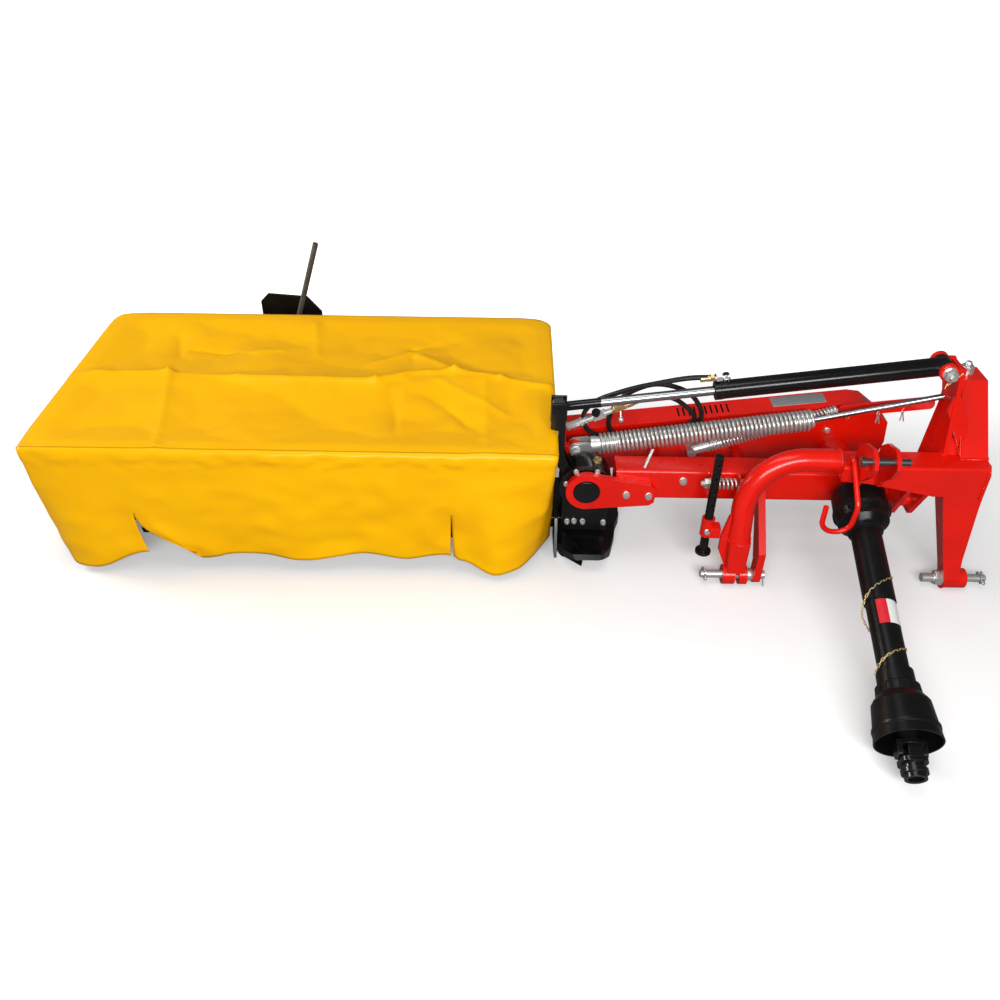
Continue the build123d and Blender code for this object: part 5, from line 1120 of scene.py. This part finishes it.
SPLIT_BLUR = 0.0004
split_at = shaft_start.dot(shaft_side) + 0.002
sticker_paint, tree, shader = new_material("sticker_paint")
place = add_node(tree, "ShaderNodeTexCoord")
scuffs = noise_node(tree, 90, 4)
red_share = add_node(
    tree, "ShaderNodeMapRange", {"From Min": split_at + SPLIT_BLUR, "From Max": split_at - SPLIT_BLUR})
across_tube = add_node(tree, "ShaderNodeVectorMath", {1: shaft_side}, "DOT_PRODUCT")
white_tone = mix_colour(tree, {6: (0.80, 0.80, 0.78, 1), 7: (0.70, 0.70, 0.68, 1)})
sticker_tone = mix_colour(tree, {7: (0.60, 0.006, 0.018, 1)})
wire(
    tree,
    ((place, "Object"), (scuffs, "Vector")),
    ((place, "Object"), (across_tube, 0)),
    ((across_tube, "Value"), (red_share, "Value")),
    ((scuffs, 0), (white_tone, 0)),
    ((red_share, 0), (sticker_tone, 0)),
    ((white_tone, 2), (sticker_tone, 6)),
    ((sticker_tone, 2), (shader, "Base Color")),
    ((scuffs, 0), (shader, "Roughness")),
)
sticker = shape_object("blank_sticker", build_sticker, sticker_paint)
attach(sticker, "shaft_outer")

# Small steel parts: lynch pins with their rings, cotters, the left pin's spacer, the wire clips on
# the strap, the loose rod on the beam, and the plug of the gear housing.
def rod_between(start, end, radius):
    """A build function and matrix for a plain round rod with eased ends."""
    run = Vector(end) - Vector(start)
    long = run.length
    return turned((0, 0), (0, radius * 0.8), (radius * 0.2, radius), (long - radius * 0.2, radius),
                  (long, radius * 0.8), (long, 0), steps=14), frame_along(start, run)


SPACER_PLACE = (0.6518, -0.268, 0.028)
RINGS = (
    # piece, middle, axis, ring radius, wire radius
    ("zinc", (0.5335, -0.268, 0.030), (1, 0.25, 0.1), 0.0165, 0.0022),
    ("zinc", (1.3165, -0.268, 0.030), (1, -0.25, 0.1), 0.0165, 0.0022),
    ("yellow", (0.9530, -0.331, 0.449), (0.8, -0.3, 0.2), 0.0110, 0.0014),
    ("yellow", (0.9300, -0.006, 0.394), (0.6, -0.8, 0.2), 0.0065, 0.0017),
    ("zinc", (1.0000, -0.034, 0.424), (0.6, -0.8, 0.2), 0.0060, 0.0017),
    ("zinc", (1.0550, -0.056, 0.446), (0.6, -0.8, 0.2), 0.0060, 0.0017),
)
RODS = (
    # piece, start, end, radius
    ("zinc", (0.5335, -0.293, 0.028), (0.5335, -0.243, 0.028), 0.0046),
    ("zinc", (1.3165, -0.293, 0.028), (1.3165, -0.243, 0.028), 0.0046),
    ("zinc", (0.3500, -0.146, 0.304), (0.3740, -0.112, 0.345), 0.0045),
    ("yellow", (1.0930, -0.168, 0.592), (1.1230, -0.168, 0.628), 0.0018),
    ("yellow", (1.0930, -0.166, 0.598), (1.0860, -0.172, 0.584), 0.0015),
    ("zinc", (1.0000, -0.034, 0.420), (0.9980, -0.038, 0.396), 0.0018),
    ("zinc", (1.0010, -0.034, 0.420), (1.0080, -0.038, 0.394), 0.0018),
    ("zinc", (1.0550, -0.056, 0.442), (1.0520, -0.060, 0.418), 0.0018),
    ("zinc", (1.0560, -0.056, 0.442), (1.0630, -0.060, 0.416), 0.0018),
    ("zinc", (0.6960, -0.286, 0.028), (0.7010, -0.290, 0.004), 0.0016),
)
for kind, finish in (("zinc", "zinc_steel"), ("yellow", "yellow_zinc")):
    def build_wires(bm):
        for piece, middle, axis, radius, wire_radius in RINGS:
            if piece == kind:
                add_part(bm, ring_of_wire(radius, wire_radius), frame_along(middle, axis))
        for piece, start, end, radius in RODS:
            if piece == kind:
                add_part(bm, *rod_between(start, end, radius))
        if kind == "zinc":
            add_part(bm, turned((0, 0.0126), (0, 0.0165), (0.0012, 0.0175), (0.0162, 0.0175), (0.0174, 0.0165),
                                (0.0174, 0.0126), (0, 0.0126)), frame_along(SPACER_PLACE, RIGHT))
    wires = shape_object("wires_" + kind, build_wires, finishes[finish], sharp=0.7)
    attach(wires, "frame")

PLUG_PLACE = ((0.2204, -0.118, 0.3055), (0.37, 0, 0.93))
plug = shape_object(
    "oil_plug", lambda bm: add_fastener(bm, *PLUG_PLACE, 0.020, "head"), finishes["yellow_zinc"], sharp=0.6)
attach(plug, "cutter")

# Near-black boxes sunk in the ten cooling slots of the cover's sloping top: painted shade for the slots'
# hollows.
SLOPE = Vector((0.830, 0, 0.107)).normalized()
SLOPE_UP = Vector((-0.107, 0, 0.830)).normalized()
SLOPE_START = Vector((0.126, 0.080, 0.304))
VENTS = tuple(0.346 + 0.0158 * index for index in range(10))
VENT_SIZE = (0.0062, 0.0480, 0.0010, 1)
VENT_SUNK = 0.0016


def build_vents(bm):
    turned_slot = Matrix((SLOPE, Vector((0, 1, 0)), SLOPE_UP)).transposed().to_4x4()
    for run in VENTS:
        spot = SLOPE_START + SLOPE * run - SLOPE_UP * VENT_SUNK
        matrix = Matrix.Translation(spot) @ turned_slot @ Matrix.Diagonal(VENT_SIZE)
        bmesh.ops.create_cube(bm, size=1, matrix=matrix)

vents = shape_object("vent_painted_shade", build_vents, finishes["slot_painted_shade"], sharp=0.5)
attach(vents, "frame")

# Black sleeve over the first stretch of the chrome rod, and the gland nut of the barrel.
ROD_EYE = Vector((0.107, -0.110, 0.475))
ROD_BASE = Vector((1.098, -0.110, 0.616))
rod_run = ROD_BASE - ROD_EYE
GLAND_FROM_BASE = 0.585
gland_place = ROD_EYE + rod_run.normalized() * (rod_run.length - GLAND_FROM_BASE)
sleeve = turned_piece(
    "rod_sleeve", "black_paint", ROD_EYE, rod_run,
    (0.016, 0.0124), (0.016, 0.0128), (0.0165, 0.0130), (0.113, 0.0130), (0.1136, 0.0124))
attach(sleeve, "rod")
gland_nut = turned_piece(
    "gland_nut", "black_paint", gland_place, rod_run,
    (-0.004, 0.0135), (-0.004, 0.0235), (-0.0025, 0.0262), (0.012, 0.0262),
    (0.0128, 0.0252), (0.0136, 0.0262), (0.018, 0.0262), (0.0186, 0.0248))
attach(gland_nut, "barrel")

# Blank identification plate on the cover's top, 152 by 50 mm, held by four rivets.
PLATE_HALF = Vector((0.076, 0.025))
PLATE_PLACE = Vector((0.812, 0.086, 0.39245))
PLATE_SLOPE = math.atan2(0.107, 0.830)
PLATE_THICK = 0.0011
RIVET_INSET = 0.006


def build_plate(bm):
    """A thin plate with eased edges, and four domed rivets."""
    matrix = Matrix.Translation(PLATE_PLACE) @ Matrix.Rotation(-PLATE_SLOPE, 4, "Y")

    def plate(own):
        bmesh.ops.create_grid(own, x_segments=1, y_segments=1, size=1)
        bmesh.ops.scale(own, vec=(PLATE_HALF.x, PLATE_HALF.y, 1), verts=own.verts)
        raise_faces(own, PLATE_THICK, 0.0004)
    add_part(bm, plate, matrix)
    rivet = turned((0, 0.0024), (0.0007, 0.0020), (0.0011, 0.0010), (0.0012, 0), steps=14)
    for side_x in (-1, 1):
        for side_y in (-1, 1):
            spot = (side_x * (PLATE_HALF.x - RIVET_INSET), side_y * (PLATE_HALF.y - RIVET_INSET), 0.0009)
            add_part(bm, rivet, matrix @ Matrix.Translation(spot))


plate = shape_object("blank_plate", build_plate, finishes["grey_plate"], sharp=0.6)
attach(plate, "frame")

# Weld beads where plates and tubes of the red frame meet: rippled half-buried rolls, 6 mm wide. None
# of them reaches below the floor.
WELDS = (
    # start, end
    ((1.168, -0.2165, 0.3975), (1.241, -0.2165, 0.3975)),
    ((1.2285, -0.2625, 0.300), (1.2285, -0.2625, 0.392)),
    ((1.2420, -0.2100, 0.3975), (1.2420, -0.1450, 0.3975)),
    ((1.1270, -0.1990, 0.3980), (1.1270, -0.1800, 0.3980)),
    ((0.8500, -0.2430, 0.386), (0.8500, -0.2350, 0.403)),
    ((1.0480, -0.1560, 0.302), (1.0480, -0.0760, 0.302)),
    ((1.0330, -0.1560, 0.302), (1.0330, -0.0760, 0.302)),
    ((1.1660, -0.2130, 0.402), (1.1660, -0.1320, 0.512)),
    *(((x, -0.2625, 0.352), (x, -0.2625, 0.396)) for x in (0.8915, 0.9385, 0.8815, 0.9485)),
)
WELD_RINGS = (
    # middle, axis, radius
    ((0.6155, -0.254, 0.1500), (0, 0.178, -1), 0.0310),
    ((0.8500, -0.212, 0.3850), (1, 0, 0), 0.0310),
    ((1.2045, -0.268, 0.0280), (1, 0, 0), 0.0275),
)
WELD_RIPPLE = 0.0042
WELD_STEPS = 4
FLOOR_GAP = 0.0005


def weld_radius(step):
    """Radius of a bead at a step of its ripple."""
    return 0.0026 + 0.0007 * abs(math.sin(math.pi * step / WELD_STEPS))


def weld_roll(length):
    """A build function for a roll along Z whose radius ripples like a weld's."""
    count = max(round(length / WELD_RIPPLE), 1) * WELD_STEPS
    profile = [(0, 0)]
    for step in range(count + 1):
        profile.append((length * step / count, weld_radius(step) + 0.0003 * math.sin(step * 1.7)))
    profile.append((length, 0))
    return turned(*profile, steps=10)


def weld_ring(radius):
    """A build function for a rippled ring of weld about Z."""
    def build(bm):
        count = round(2 * math.pi * radius / WELD_RIPPLE) * WELD_STEPS
        outwards = Matrix.Translation((radius, 0, 0)) @ UPRIGHT
        for step in range(count):
            matrix = Matrix.Rotation(2 * math.pi * step / count, 4, "Z") @ outwards
            bmesh.ops.create_circle(bm, cap_ends=False, radius=weld_radius(step), segments=8, matrix=matrix)
        bm.edges.ensure_lookup_table()
        loops = [bm.edges[index * 8:index * 8 + 8] for index in range(count)]
        for before, after in zip(loops, loops[1:] + loops[:1]):
            bmesh.ops.bridge_loops(bm, edges=before + after)
    return build


def build_welds(bm):
    """All the straight and round beads."""
    for start, end in WELDS:
        run = Vector(end) - Vector(start)
        add_part(bm, weld_roll(run.length), frame_along(start, run))
    for middle, axis, radius in WELD_RINGS:
        add_part(bm, weld_ring(radius), frame_along(middle, axis))


welds = shape_object("weld_beads", build_welds, finishes["red_paint"])
for vert in welds.data.vertices:
    vert.co.z = max(vert.co.z, FLOOR_GAP)
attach(welds, "frame")
